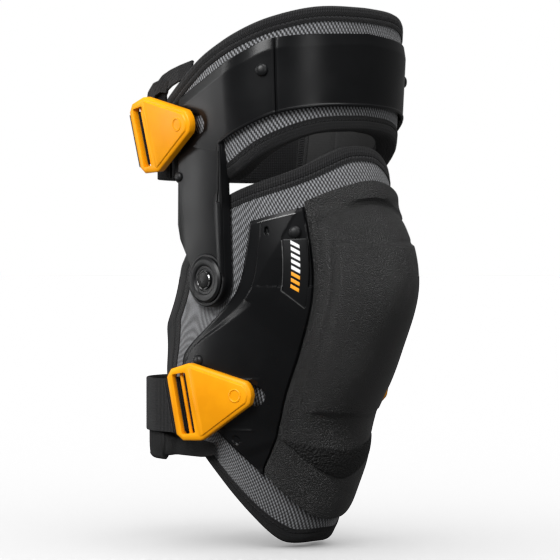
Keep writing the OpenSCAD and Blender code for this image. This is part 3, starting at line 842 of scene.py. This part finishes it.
def plate_relief(t, z):
    """Facets, steps and small marks of the side plate, in mm over its base face."""
    inner = (smooth(z, PLATE_REAR) - t) * 1.45 * (0.72 if 131 > z > 60 else 0.86)
    wide = smooth(z, ((60, 1.2), (125, 1.2), (134, 1.6), (160, 7.5), (165, 7.0), (168, 1.3), (222, 1.2)))
    rim = smooth(z, ((47, 2.0), (70, 2.0), (118, 2.5), (132, 4.0), (165, 8.6), (222, 7.2)))
    h = 1.9 * min(1.0, max(0.0, (inner - rim) / wide))
    ridge = ((60.9, 194.4), (43.9, 229.3)) if z > 194.4 else ((67.2, 176.9), (60.9, 194.4))
    back = line_side(t, z, *ridge)
    if z > 176 and back > 0:
        h -= min(2.2, 0.16 * back)
    h -= 1.5 * (1 - ramp(line_side(t, z, (42.8, 72.4), (58, 65.9)), -7.0, 0.2)) * ramp(z, 47, 52)
    top = (230 - 10 * (t - 41) / 30) - z
    h -= 0.8 * (1 - ramp(top, 0.4, 2.6))
    box = max(abs((t - 63) * MM_PER_DEG) - 13, abs(z - 95) - 17.5)
    h += 0.45 * math.exp(-(box / 0.8) ** 2)
    h -= 1.1 * (1 - ramp(math.hypot((t - 63.9) * 1.35, z - 70.6), 2.4, 3.4))
    h -= 2.4 * (1 - ramp(math.hypot((t - 61.5) * MM_PER_DEG / 1.5, (z - 213.3) / 2.9), 0.75, 1.05))
    badge = min((t - 41.3) * MM_PER_DEG, (54.6 - t) * MM_PER_DEG,
                line_side(t, z, (60.9, 194.4), (43.9, 229.3)) + 1.0,
                line_side(t, z, (39.0, 158.5), (53.2, 172)))
    h -= 0.7 * ramp(badge, 0.0, 0.9)
    return h


class PLATE_OT_sides(bpy.types.Operator):
    """Faceted side plates with keyholes, and their plain badges"""
    bl_idname = "knee_pad.side_plates"
    bl_label = "Side plates"

    def execute(self, context):
        def where(u, v):
            z = mix(47, 230 - 10 * u, v)
            t = mix(smooth(z, CAP_SIDE) - 0.7, smooth(z, PLATE_REAR), u)
            front = (t - smooth(z, CAP_SIDE) - 1.0) * MM_PER_DEG
            edge = min(front, (1 - u) * 34)
            lip = 1.9 * (1 - ramp(front, -0.7, 0.0))
            return knee(t, z, FACE - 0.5 + plate_relief(t, z) - 0.5 * (1 - ramp(edge, 0, 0.9)) - lip)
        plate = skin("side_plate_right", 76, 210, where)
        thicken(plate, sizes().plate_thick * MM - 0.4)
        soften(plate, 0.4, 2, 60)
        cut_out(plate, hook_hole(LOWER_HOOK))
        both_sides(plate, "side_plate", finish("plate"), "knee_unit", "side_plate", 24)

        corners = ((41.9, 160.6), (54.0, 172.8), (54.0, 207.6), (41.9, 208.4))

        def face(u, v):
            low, top = mix(corners[0][1], corners[1][1], u), mix(corners[3][1], corners[2][1], u)
            return knee(mix(corners[0][0], corners[1][0], u), mix(low, top, v), FACE + 0.95)
        tray = skin("badge_tray", 14, 40, face)
        thicken(tray, 1.0)
        soften(tray, 0.25, 2)

        def line(name, a, b, wide):
            """A fine raised line from a to b, both (t, z)."""
            across = Vector(((b[1] - a[1]) / 1.2, -(b[0] - a[0]) * 1.2)).normalized() * wide

            def put(u, v):
                t, z = mix(a[0], b[0], u) + across[0] * v / 1.2, mix(a[1], b[1], u) + across[1] * v
                return knee(t, z, FACE - 0.5 + max(plate_relief(t, z), plate_relief(t + 0.8, z)) + 0.35)
            return thicken(straighten(skin(name, 40, 2, put)), 0.9)
        rim = joined("badge_rim", line("badge_rim", (54.4, 207), (54.4, 173), 0.5),
                     line("badge_rim_low", (54.4, 173), (42.2, 160.8), 0.5))

        def bars(name, top, count):
            """Slanted bars of the badge, one below the other."""
            def put(z):
                return lambda u, v: knee(mix(45.9, 50.1, u), mix(z, z + 2.4, v) + mix(-1.6, 1.6, u), FACE + 1.2)
            return [skin(name, 4, 4, put(top - 4.2 * i)) for i in range(count)]
        white = bars("badge_bar", 203, 5)
        amber = bars("badge_tick", 182, 3)
        for b in white + amber:
            thicken(b, 0.35)
            soften(b, 0.1, 2)
        stripes = joined("badge_bars", *white)
        ticks = joined("badge_ticks", *amber)
        # Painted highlight: a thin grey metal strip lies along the top bevel of each plate, standing in for a
        # bright line of light there, not for a real trim.
        highlight_strip = line("plate_trim_line", (66.5, 218.6), (46.5, 224.9), 0.5)
        for piece, name, look in ((highlight_strip, "plate_trim_line", "silver"), (tray, "badge_tray", "shell"),
                                  (rim, "badge_rim", "silver"), (stripes, "badge_light_bars", "white"),
                                  (ticks, "badge_amber_bars", "amber")):
            both_sides(piece, name, finish(look), "knee_unit", "badge", 40)
        return {"FINISHED"}


def hook_hole(place):
    """Keyhole cutter: round behind, narrow in front, where a hook buckle locks."""
    outline = []
    for k in range(33):
        a = math.radians(-148 + 296 * k / 32)
        outline.append((14 + 7.4 * math.cos(a), 7.4 * math.sin(a)))
    for k in range(17):
        a = math.radians(90 + 180 * k / 16)
        outline.append((3.7 * math.cos(a), 3.7 * math.sin(a)))
    return moved(drawn("keyhole", outline, 16, -8), place)


# ---- cuff plates and arms ----

class CUFF_OT_panel(bpy.types.Operator):
    """Hard front panel of the thigh cuff"""
    bl_idname = "knee_pad.thigh_panel"
    bl_label = "Thigh panel"

    def execute(self, context):
        def where(u, v):
            t = mix(53.1, -53.1, u)
            low, top = smooth(abs(t), PANEL_LOW), smooth(abs(t), PANEL_TOP)
            z = mix(low, top, v)
            edge = min(u, 1 - u) * 150
            d = FACE - 0.1 - 0.20 * max(0, 7.5 - (top - z)) - 0.7 * (1 - ramp(edge, 0, 1.3))
            d += 0.55 * (1 - ramp(z - low, 1.6, 2.5)) - 0.5 * (1 - ramp(z - low, 0, 0.6))
            return thigh(t, z, d)
        panel = skin("thigh_front_panel", 150, 64, where)
        thicken(panel, sizes().plate_thick * MM - 0.5)
        soften(panel, 0.4, 2, 60)
        done(panel, finish("shell"), "thigh_unit", "thigh_panel", 24)
        return {"FINISHED"}


def arm_outline():
    """Side view of the arm about the pivot: forwards is +X here, up is +Y."""
    pts = [(-17.5, 8.5), (-30.8, 27), (-33.4, 38), (-33.0, 84), (-28, 95), (14.6, 95)]
    for k in range(29):
        a = math.radians(4 - 212 * k / 28)
        pts.append((BOSS_R * math.cos(a), BOSS_R * math.sin(a)))
    return pts


ARM_FACE = Matrix.Translation((-ARM_IN, HINGE_Y, HINGE_Z)) @ Matrix.Rotation(math.radians(-90), 4, "Z") \
    @ Matrix.Rotation(math.radians(90), 4, "X")


class CUFF_OT_arms(bpy.types.Operator):
    """Side arms that carry the cuff on the pivots, with their hinge discs"""
    bl_idname = "knee_pad.side_arms"
    bl_label = "Side arms"

    def execute(self, context):
        def where(u, v):
            t = mix(52.4, 139, u)
            low = smooth(min(t, 97), PANEL_LOW) if t < 97 else mix(272.5, 262, ramp(t, 97, 104))
            top = smooth(t, PANEL_TOP)
            z = mix(low, top, v)
            d = (FACE - 0.1 - 0.20 * max(0, 7.5 - (top - z)) - 0.6 * (1 - ramp(t, 54.3, 55.3))
                 - 1.3 * (1 - ramp(t, 53.6, 54.3)))
            lip = (1 - ramp(z - low, 1.6, 2.5)) * (1 - ramp(t, 94, 98))
            d += 0.55 * lip - 0.5 * (1 - ramp(z - low, 0, 0.6)) - 0.8 * (1 - ramp((1 - u) * 120, 0, 4))
            return thigh(t, z, d)
        wing = skin("cuff_side_plate", 150, 60, where)
        thicken(wing, sizes().plate_thick * MM - 0.5)
        soften(wing, 0.4, 2, 60)
        blade = drawn("arm_blade", arm_outline(), ARM_THICK)

        def rear_edge(e):
            a, b = (blade.data.vertices[i].co for i in e.vertices)
            return (max(a.x, b.x) < -15 and abs(a.z - ARM_THICK) < 0.1 and abs(b.z - ARM_THICK) < 0.1
                    and abs(a.y - b.y) > 4)
        edit_chosen(blade, "edges", rear_edge, lambda: bpy.ops.mesh.bevel(offset=3.4, segments=1, affect="EDGES"))
        soften(blade, 0.9, 3, 25)
        rail = [(14.4, 93), (12.2, 93), (11.8, 60), (8.2, 57), (8.6, 52), (13.2, 14), (16.6, 3), (18.3, 2),
                (16.4, 48), (16.8, 56), (16.2, 60), (15.4, 80)]
        rib = drawn("arm_rail", rail, 2.2, 6.4)
        soften(rib, 0.6, 2, 30)
        block = drawn("arm_block", [(9.4, 50), (12.9, 14), (15.9, 5), (17.9, 4), (16.5, 47), (15.8, 51.5),
                                    (14, 53.5), (11, 53)], 3.4, 6.4)
        soften(block, 0.8, 3, 30)
        boss = turned("arm_boss", [(18.3, 5.5), (18.3, 7.2), (17.6, 7.75), (16.5, 7.8), (16.3, 7.0), (15.9, 7.0),
                                   (15.9, 5.5)], 72)
        for p in (blade, rib, block, boss):
            moved(p, ARM_FACE)
        groove = [(13.9, 88), (13.1, 88), (12.9, 62), (11.6, 52), (14.0, 16), (14.6, 16), (13.0, 52), (14.2, 62)]
        slit = moved(drawn("arm_groove", groove, 3, 6.9), ARM_FACE)
        cut_out(rib, slit)
        for p in (wing, blade):
            cut_out(p, hook_hole(UPPER_HOOK))
        arm = joined("side_arm_right", wing, blade, rib, block, boss)
        both_sides(arm, "side_arm", finish("shell"), "thigh_unit", "side_arm", 24)

        disc = turned("hinge_disc", [(4.1, 0.1), (15.3, 0.1), (15.6, 0.5), (15.6, 1.5), (14.0, 2.7), (10.8, 2.75),
                                     (10.2, 2.5), (9.6, 1.85), (7.9, 1.75), (7.6, 1.4), (4.1, 1.4)], 72)
        moved(disc, ARM_FACE @ Matrix.Translation((0, 0, 7.0)))
        both_sides(disc, "hinge_disc", finish("disc"), "thigh_unit", "hinge_disc", 30)
        return {"FINISHED"}


def dome_rivet(r):
    points = [(r * 0.9, -0.4), (r, 0.0)]
    for k in range(1, 10):
        a = math.radians(90 * k / 9.4)
        points.append((r * math.cos(a) ** 0.8, 0.25 + r * 0.6 * math.sin(a)))
    return turned("rivet", points, 32)


class RIVET_OT_domes(bpy.types.Operator):
    """Domed rivets of the side plates and the cuff"""
    bl_idname = "knee_pad.rivets"
    bl_label = "Rivets"

    def execute(self, context):
        def turn(t, a, b):
            t = math.radians(min(t, 90))
            return math.degrees(math.atan2(math.sin(t) / a, math.cos(t) / b))

        def on_knee(t, z, r, lift):
            a, b = smooth(z, KNEE_A), smooth(z, KNEE_Y) + smooth(z, KNEE_F)
            return moved(dome_rivet(r), facing(knee(t, z, FACE + lift), turn(t, a, b)))
        a = joined("plate_rivets", on_knee(47.6, 212.5, 4.2, 0.3), on_knee(86.0, 124.5, 3.9, 0.9))
        both_sides(a, "plate_rivets", finish("disc"), "knee_unit", "plate_rivets", 50)
        t, z = 61, 321
        b = moved(dome_rivet(4.3), facing(thigh(t, z, FACE - 0.1),
                                          turn(t, smooth(z, THIGH_A), -25 + smooth(z, THIGH_F))))
        c = moved(dome_rivet(3.4), ARM_FACE @ Matrix.Translation((-29, 71.5, 6.8)))
        both_sides(joined("cuff_rivets", b, c), "cuff_rivets", finish("disc"), "thigh_unit",
                   "thigh_rivets", 50)
        return {"FINISHED"}


class PIVOT_OT_posts(bpy.types.Operator):
    """Snap rivets that the arms turn on, and the washers behind the arms"""
    bl_idname = "knee_pad.pivots"
    bl_label = "Pivots"

    def execute(self, context):
        post = turned("pivot_post", [(15.8, -4.6), (15.8, -3.5), (4.0, -2.9), (4.0, 8.6), (6.3, 8.7), (6.5, 9.0),
                                     (6.4, 9.5), (5.6, 9.6), (5.4, 10.0), (4.8, 10.25), (0.3, 10.3)], 48)
        ring = turned("snap_ring", [(5.7, 9.4), (6.45, 9.4), (6.45, 10.1), (6.1, 10.35), (5.7, 10.15),
                                    (5.7, 9.4)], 64)
        edit_chosen(ring, "polygons",
                    lambda f: (math.degrees(math.atan2(f.center.y, f.center.x)) + 9) % 45 < 16,
                    lambda: bpy.ops.mesh.delete(type="FACE"))
        close_up(ring)
        washer = turned("pivot_washer", [(4.4, -0.75), (11.6, -0.75), (12.0, -0.5), (12.0, -0.4), (11.6, -0.2),
                                         (4.4, -0.2), (4.4, -0.75)], 48)
        for p in (post, ring, washer):
            moved(p, ARM_FACE)
        both_sides(post, "snap_rivet", finish("post"), "knee_unit", "pivot_post", 40)
        both_sides(ring, "snap_ring", finish("ring"), "knee_unit", "pivot_post", 40)
        both_sides(washer, "nylon_washer", finish("washer"), "knee_unit", "pivot_washer", 40)
        return {"FINISHED"}


# ---- buckles and straps ----

HOOK = ((-48, -20), (-43.5, -25), (-29.5, -26.8), (-27.5, -26.3), (12.6, -8.2), (14.2, -6.6), (16, -2),
        (16, 2), (14.2, 6.6), (12.6, 8.2), (-27.5, 26.3), (-29.5, 26.8), (-43.5, 25), (-48, 20))
TILT = Matrix.Rotation(math.radians(9.5), 4, "Z")


class BUCKLE_OT_hooks(bpy.types.Operator):
    """Hook buckles with their posts, strap slots, ridges and ring marks"""
    bl_idname = "knee_pad.buckles"
    bl_label = "Buckles"

    def execute(self, context):
        body = drawn("hook_buckle", HOOK, 5.4)
        inset_top(body, 1.6, 0.9)
        face = drawn("buckle_face", [(-31.4, -23.6), (-29.6, -24.9), (11.5, -6.9), (13.2, -4.8), (14.4, -1.6),
                                     (14.4, 1.6), (13.2, 4.8), (11.5, 6.9), (-29.6, 24.9), (-31.4, 23.6)], 2.6, 3.2)
        inset_top(face, 1.3, 1.5)
        for v in face.data.vertices:
            if v.co.z > 6.5 and v.co.x < -25:
                v.co.x, v.co.y = -25.6, v.co.y * 0.97
        hole = drawn("strap_slot", [(-43.2, -20.4), (-42.4, -21), (-33.4, -21), (-32.6, -20.4), (-32.6, 20.4),
                                    (-33.4, 21), (-42.4, 21), (-43.2, 20.4)], 20, -4)
        cut_out(body, hole)
        soften(body, 0.45, 2, 30)
        soften(face, 0.3, 2, 20)
        ring = turned("ring_mark", [(3.3, 6.9), (5.0, 6.9), (4.7, 7.6), (4.15, 7.85), (3.6, 7.6), (3.3, 6.9)], 40)
        moved(ring, Matrix.Translation((4.2, 0, 0)))
        bar = turned("slot_bar", [(1.2, -23), (1.3, -22.6), (1.3, 22.6), (1.2, 23)], 20)
        moved(bar, Matrix.Translation((-38, 0, 1.9)) @ Matrix.Rotation(math.radians(90), 4, "X"))
        plate = joined("hook_buckle", body, face, ring, bar)
        moved(plate, TILT)
        post = turned("hook_post", [(3.2, 0.6), (3.2, -6.7), (3.5, -6.9), (6.0, -6.95), (6.3, -7.2), (6.3, -8.0),
                                    (5.9, -8.3), (0.4, -8.3)], 36)
        hook = joined("hook_buckle", plate, post)
        for level, place in (("lower", LOWER_HOOK), ("upper", UPPER_HOOK)):
            one = copied(hook, level + "_buckle_hook", place)
            both_sides(one, level + "_hook", finish("buckle"), level + "_buckle_*", level + "_buckle", 30)
        bpy.data.objects.remove(hook)
        return {"FINISHED"}


def band(name, path, low, high, thick, step):
    """Webbing along a path of (x, y) points, from one height to another, with rounded edges."""
    pts = [Vector((p[0], p[1], 0)) for p in path]
    gaps = [(b - a).length for a, b in zip(pts, pts[1:])]
    total = sum(gaps)

    def at(s):
        s = min(max(s, 0.0), total)
        i = 0
        while i < len(gaps) - 1 and s > gaps[i]:
            s -= gaps[i]
            i += 1
        return pts[i].lerp(pts[i + 1], s / gaps[i])

    def where(u, v):
        p = at(u * total)
        return Vector((p.x, p.y, mix(low, high, v)))
    obj = skin(name, max(12, int(total / step)), 12, where)
    thicken(obj, thick, 0.0)
    return soften(obj, thick * 0.32, 2, 50)


def round_back(w, y1, y2, r):
    """Plan of a strap round the back of the leg, from the right side to the left."""
    pts = [(-w, y1 + (y2 - r - y1) * k / 6) for k in range(6)]
    for k in range(17):
        a = math.radians(180 - 90 * k / 16)
        pts.append((-w + r + r * math.cos(a), y2 - r + r * math.sin(a)))
    left = [(-x, y) for x, y in reversed(pts)]
    mid = [(mix(pts[-1][0], left[0][0], k / 8), y2) for k in range(1, 8)]
    return pts + mid + left


class STRAP_OT_ends(bpy.types.Operator):
    """Strap ends looped through the buckles"""
    bl_idname = "knee_pad.strap_ends"
    bl_label = "Strap ends"

    def execute(self, context):
        thick = sizes().webbing_thick * MM
        path = [(-53, -1.8), (-48, -1.8), (-44, -1.6), (-42.6, -0.4), (-42.2, 1.6), (-42.1, 3.8), (-41.3, 5.3),
                (-38.0, 5.7), (-34.7, 5.3), (-33.8, 3.6), (-34.2, 0.9), (-36.2, -0.9), (-39.5, -2.1)]
        turnover = Matrix.Rotation(math.radians(-90), 4, "X")
        one = band("strap_end", [(a, -b) for a, b in path], -18.9, 18.9, min(thick, 1.6), 0.8)
        moved(one, TILT @ turnover.inverted())
        for level, place in (("lower", LOWER_HOOK), ("upper", UPPER_HOOK)):
            end = copied(one, level + "_strap_loop", place)
            both_sides(end, level + "_strap_loop", finish("webbing"), level + "_buckle_*",
                       level + "_strap_end", 40)
        bpy.data.objects.remove(one)
        return {"FINISHED"}


class STRAP_OT_loops(bpy.types.Operator):
    """Straps round the back of the leg, the padded sleeve behind the calf and the folded spare webbing"""
    bl_idname = "knee_pad.straps"
    bl_label = "Straps"

    def execute(self, context):
        t = sizes().webbing_thick * MM
        low = band("calf_strap", round_back(73.6, 21.5, 81.8, 38.8), 73.4, 110.6, t, 2.2)
        done(low, finish("webbing"), "knee_unit", "lower_strap", 40)
        high = band("thigh_strap", round_back(64.8, 46.8, 80.2, 39), 251.4, 296.6, t, 2.2)
        done(high, finish("webbing"), "thigh_unit", "upper_strap", 40)

        base = round_back(68.5, 44.0, 76.7, 32.0)
        tips = [(knee(t, 63, 3.6), 63.0, 5.8) for t in (80, 84, 88, 93, 98, 103, 108, 113)]
        run = [(p, 68.0 if k == 0 else 76.0, 12.0 if k == 0 else 19.0) for k, p in enumerate(base[:2])]
        run += [(p, 76.5, 23.0) for p in base[2:len(base) // 2]]
        right = [(Vector((p[0], p[1], 0)), z, h) for p, z, h in tips + run]
        spots = right + [(Vector((-p.x, p.y, 0)), z, h) for p, z, h in reversed(right)]

        def sleeve(u, v):
            s = u * (len(spots) - 1)
            i = min(int(s), len(spots) - 2)
            a, b, f = spots[i], spots[i + 1], s - i
            p, z, half = a[0].lerp(b[0], f), mix(a[1], b[1], f), mix(a[2], b[2], f)
            along = spots[min(i + 2, len(spots) - 1)][0] - spots[max(i - 1, 0)][0]
            n = along.cross(Vector((0, 0, -1))).normalized()
            ends = min(1.0, 26 * u, 26 - 26 * u) ** 0.5
            thick = mix(1.9, 3.3, ramp(half, 6, 20))
            r = 2 * math.pi * v
            tall = abs(math.cos(r)) ** 0.35 * math.copysign(1, math.cos(r))
            quilt = 1 - 0.22 * math.exp(-(math.sin(u * 15 * math.pi) / 0.10) ** 2)
            piping = 1 + 0.22 * math.exp(-((abs(tall) - 0.9) / 0.05) ** 2)
            out = n * (thick * quilt * piping * ends * math.sin(r))
            return p + out + Vector((0, 0, z + half * tall * mix(0.6, 1, ends)))
        pad = straighten(skin("calf_sleeve", 150, 40, sleeve))
        close_up(pad)
        done(pad, finish("sleeve"), "knee_unit", "calf_pad", 60)

        def ribbon(name, spine, turn, wide):
            """A loop of webbing: spine points and the way its width lies at each."""
            spine = [Vector(p) for p in spine]
            turn = [Vector(w).normalized() for w in turn]

            def where(u, v):
                k = u * (len(spine) - 1)
                i = min(int(k), len(spine) - 2)
                f = ramp(k - i, 0, 1) * 0.35 + (k - i) * 0.65
                w = turn[i].lerp(turn[i + 1], f).normalized()
                return spine[i].lerp(spine[i + 1], f) + w * (v - 0.5) * wide
            obj = skin(name, 44, 10, where)
            smooth_over(obj)
            thicken(obj, 1.9, 0.0)
            return soften(obj, 0.6, 2, 50)
        fold = ribbon("spare_webbing", [(-66, 56, 297), (-68, 51, 305), (-70.5, 47.5, 312), (-71.5, 41, 318),
                                        (-72.5, 33, 321), (-73, 24, 323.5), (-71.5, 13, 326.5)],
                      [(-0.2, 1, 0), (-0.3, 1, 0.1), (-0.2, 0.9, 0.5), (0, 0.4, 0.9), (0.1, 0.1, 1), (0.2, 0, 1),
                       (0.3, 0, 1)], 12)
        second = ribbon("spare_webbing_tail", [(-69, 59, 303), (-71.5, 56, 309), (-73.2, 50, 314), (-73.4, 43, 316),
                                               (-72.4, 37, 315)],
                        [(-0.1, 0.9, 0.5), (0, 0.6, 0.8), (0, 0.2, 1), (0, -0.1, 1), (0, -0.3, 1)], 9)
        both = joined("spare_webbing", fold, second)
        both_sides(both, "spare_webbing", finish("webbing"), "thigh_unit", "strap_fold", 40)
        return {"FINISHED"}


# ---- stage ----

class STAGE_OT_studio(bpy.types.Operator):
    """White ground, soft studio lights and the camera"""
    bl_idname = "knee_pad.studio"
    bl_label = "Studio"

    def execute(self, context):
        scene = context.scene
        scene.view_settings.view_transform = "Standard"
        clear()
        bpy.ops.mesh.primitive_plane_add(size=40, location=(0, 0, -0.1865))
        ground = named("ground")
        ground.is_shadow_catcher = True
        f = Finish("white_ground", grey(0.95), 0.9)
        f.into("Roughness", f.new("MapRange", None, Value=f.noise(3), To_Min=0.85, To_Max=0.95))
        ground.data.materials.append(f.mat)

        world = bpy.data.worlds.new("studio_white")
        scene.world = world
        world.use_nodes = True
        t = world.node_tree
        back = t.nodes["Background"]
        back.inputs[0].default_value = (1, 1, 1, 1)
        seen = t.nodes.new("ShaderNodeLightPath")
        level = t.nodes.new("ShaderNodeMapRange")
        level.inputs["To Min"].default_value = 0.17
        level.inputs["To Max"].default_value = 1.0
        t.links.new(seen.outputs["Is Camera Ray"], level.inputs["Value"])
        t.links.new(level.outputs[0], back.inputs[1])

        unlit = bpy.data.collections.new("ground_takes_no_lamp")
        unlit.objects.link(ground)
        unlit.collection_objects[0].light_linking.link_state = "EXCLUDE"

        def lamp(name, place, aim, size, power, size_y=None):
            data = bpy.data.lights.new(name, "AREA")
            data.energy = power
            data.size = size
            if size_y:
                data.shape = "RECTANGLE"
                data.size_y = size_y
            obj = bpy.data.objects.new(name, data)
            scene.collection.objects.link(obj)
            obj.location = place
            obj.rotation_euler = (Vector(aim) - Vector(place)).to_track_quat("-Z", "Y").to_euler()
            obj.light_linking.receiver_collection = unlit
        lamp("key_softbox", (-1.25, -0.35, 0.85), (0, 0, 0.05), 0.6, 27, 0.8)
        lamp("top_softbox", (0.1, -0.5, 1.3), (0, 0, 0), 0.8, 12)
        lamp("front_strip", (-0.35, -1.5, 0.45), (0, 0, 0), 0.25, 5, 0.9)
        lamp("rear_strip", (-0.9, 1.1, 0.3), (0, 0, 0), 0.2, 6, 1.0)

        data = bpy.data.cameras.new("camera")
        data.lens = 135.48
        data.sensor_width = 36
        data.clip_start = 0.05
        eye = bpy.data.objects.new("camera", data)
        scene.collection.objects.link(eye)
        eye.location = (-1.04155, -1.07436, 0.01266)
        eye.rotation_euler = (math.radians(89.5), 0, math.radians(-44))
        scene.camera = eye
        return {"FINISHED"}


STEPS = (PADDING_OT_knee, PADDING_OT_thigh, BINDING_OT_tapes, CAP_OT_dome, PLATE_OT_sides, CUFF_OT_panel,
         CUFF_OT_arms, RIVET_OT_domes, PIVOT_OT_posts, BUCKLE_OT_hooks, STRAP_OT_ends, STRAP_OT_loops,
         STAGE_OT_studio)


class KNEEPAD_PT_build(bpy.types.Panel):
    """Sizes, colours and build steps of the knee pad"""
    bl_label = "Knee Pad"
    bl_idname = "KNEEPAD_PT_build"
    bl_space_type = "VIEW_3D"
    bl_region_type = "UI"
    bl_category = "Knee Pad"

    def draw(self, context):
        for group in (context.scene.knee_pad_sizes, context.scene.knee_pad_colours):
            box = self.layout.box()
            for key in group.__annotations__:
                box.prop(group, key)
        for step in STEPS:
            self.layout.operator(step.bl_idname)


CLASSES = (KneePadSizes, KneePadColours, *STEPS, KNEEPAD_PT_build)


def register():
    for c in CLASSES:
        bpy.utils.register_class(c)
    bpy.types.Scene.knee_pad_sizes = bpy.props.PointerProperty(type=KneePadSizes)
    bpy.types.Scene.knee_pad_colours = bpy.props.PointerProperty(type=KneePadColours)


def unregister():
    del bpy.types.Scene.knee_pad_sizes
    del bpy.types.Scene.knee_pad_colours
    for c in reversed(CLASSES):
        bpy.utils.unregister_class(c)


def main():
    register()
    mix_finishes(bpy.context.scene.knee_pad_colours)
    for step in STEPS:
        area, op = step.bl_idname.split(".")
        if getattr(getattr(bpy.ops, area), op)() != {"FINISHED"}:
            raise RuntimeError(step.bl_label + " could not be built")


if __name__ == "__main__":
    main()
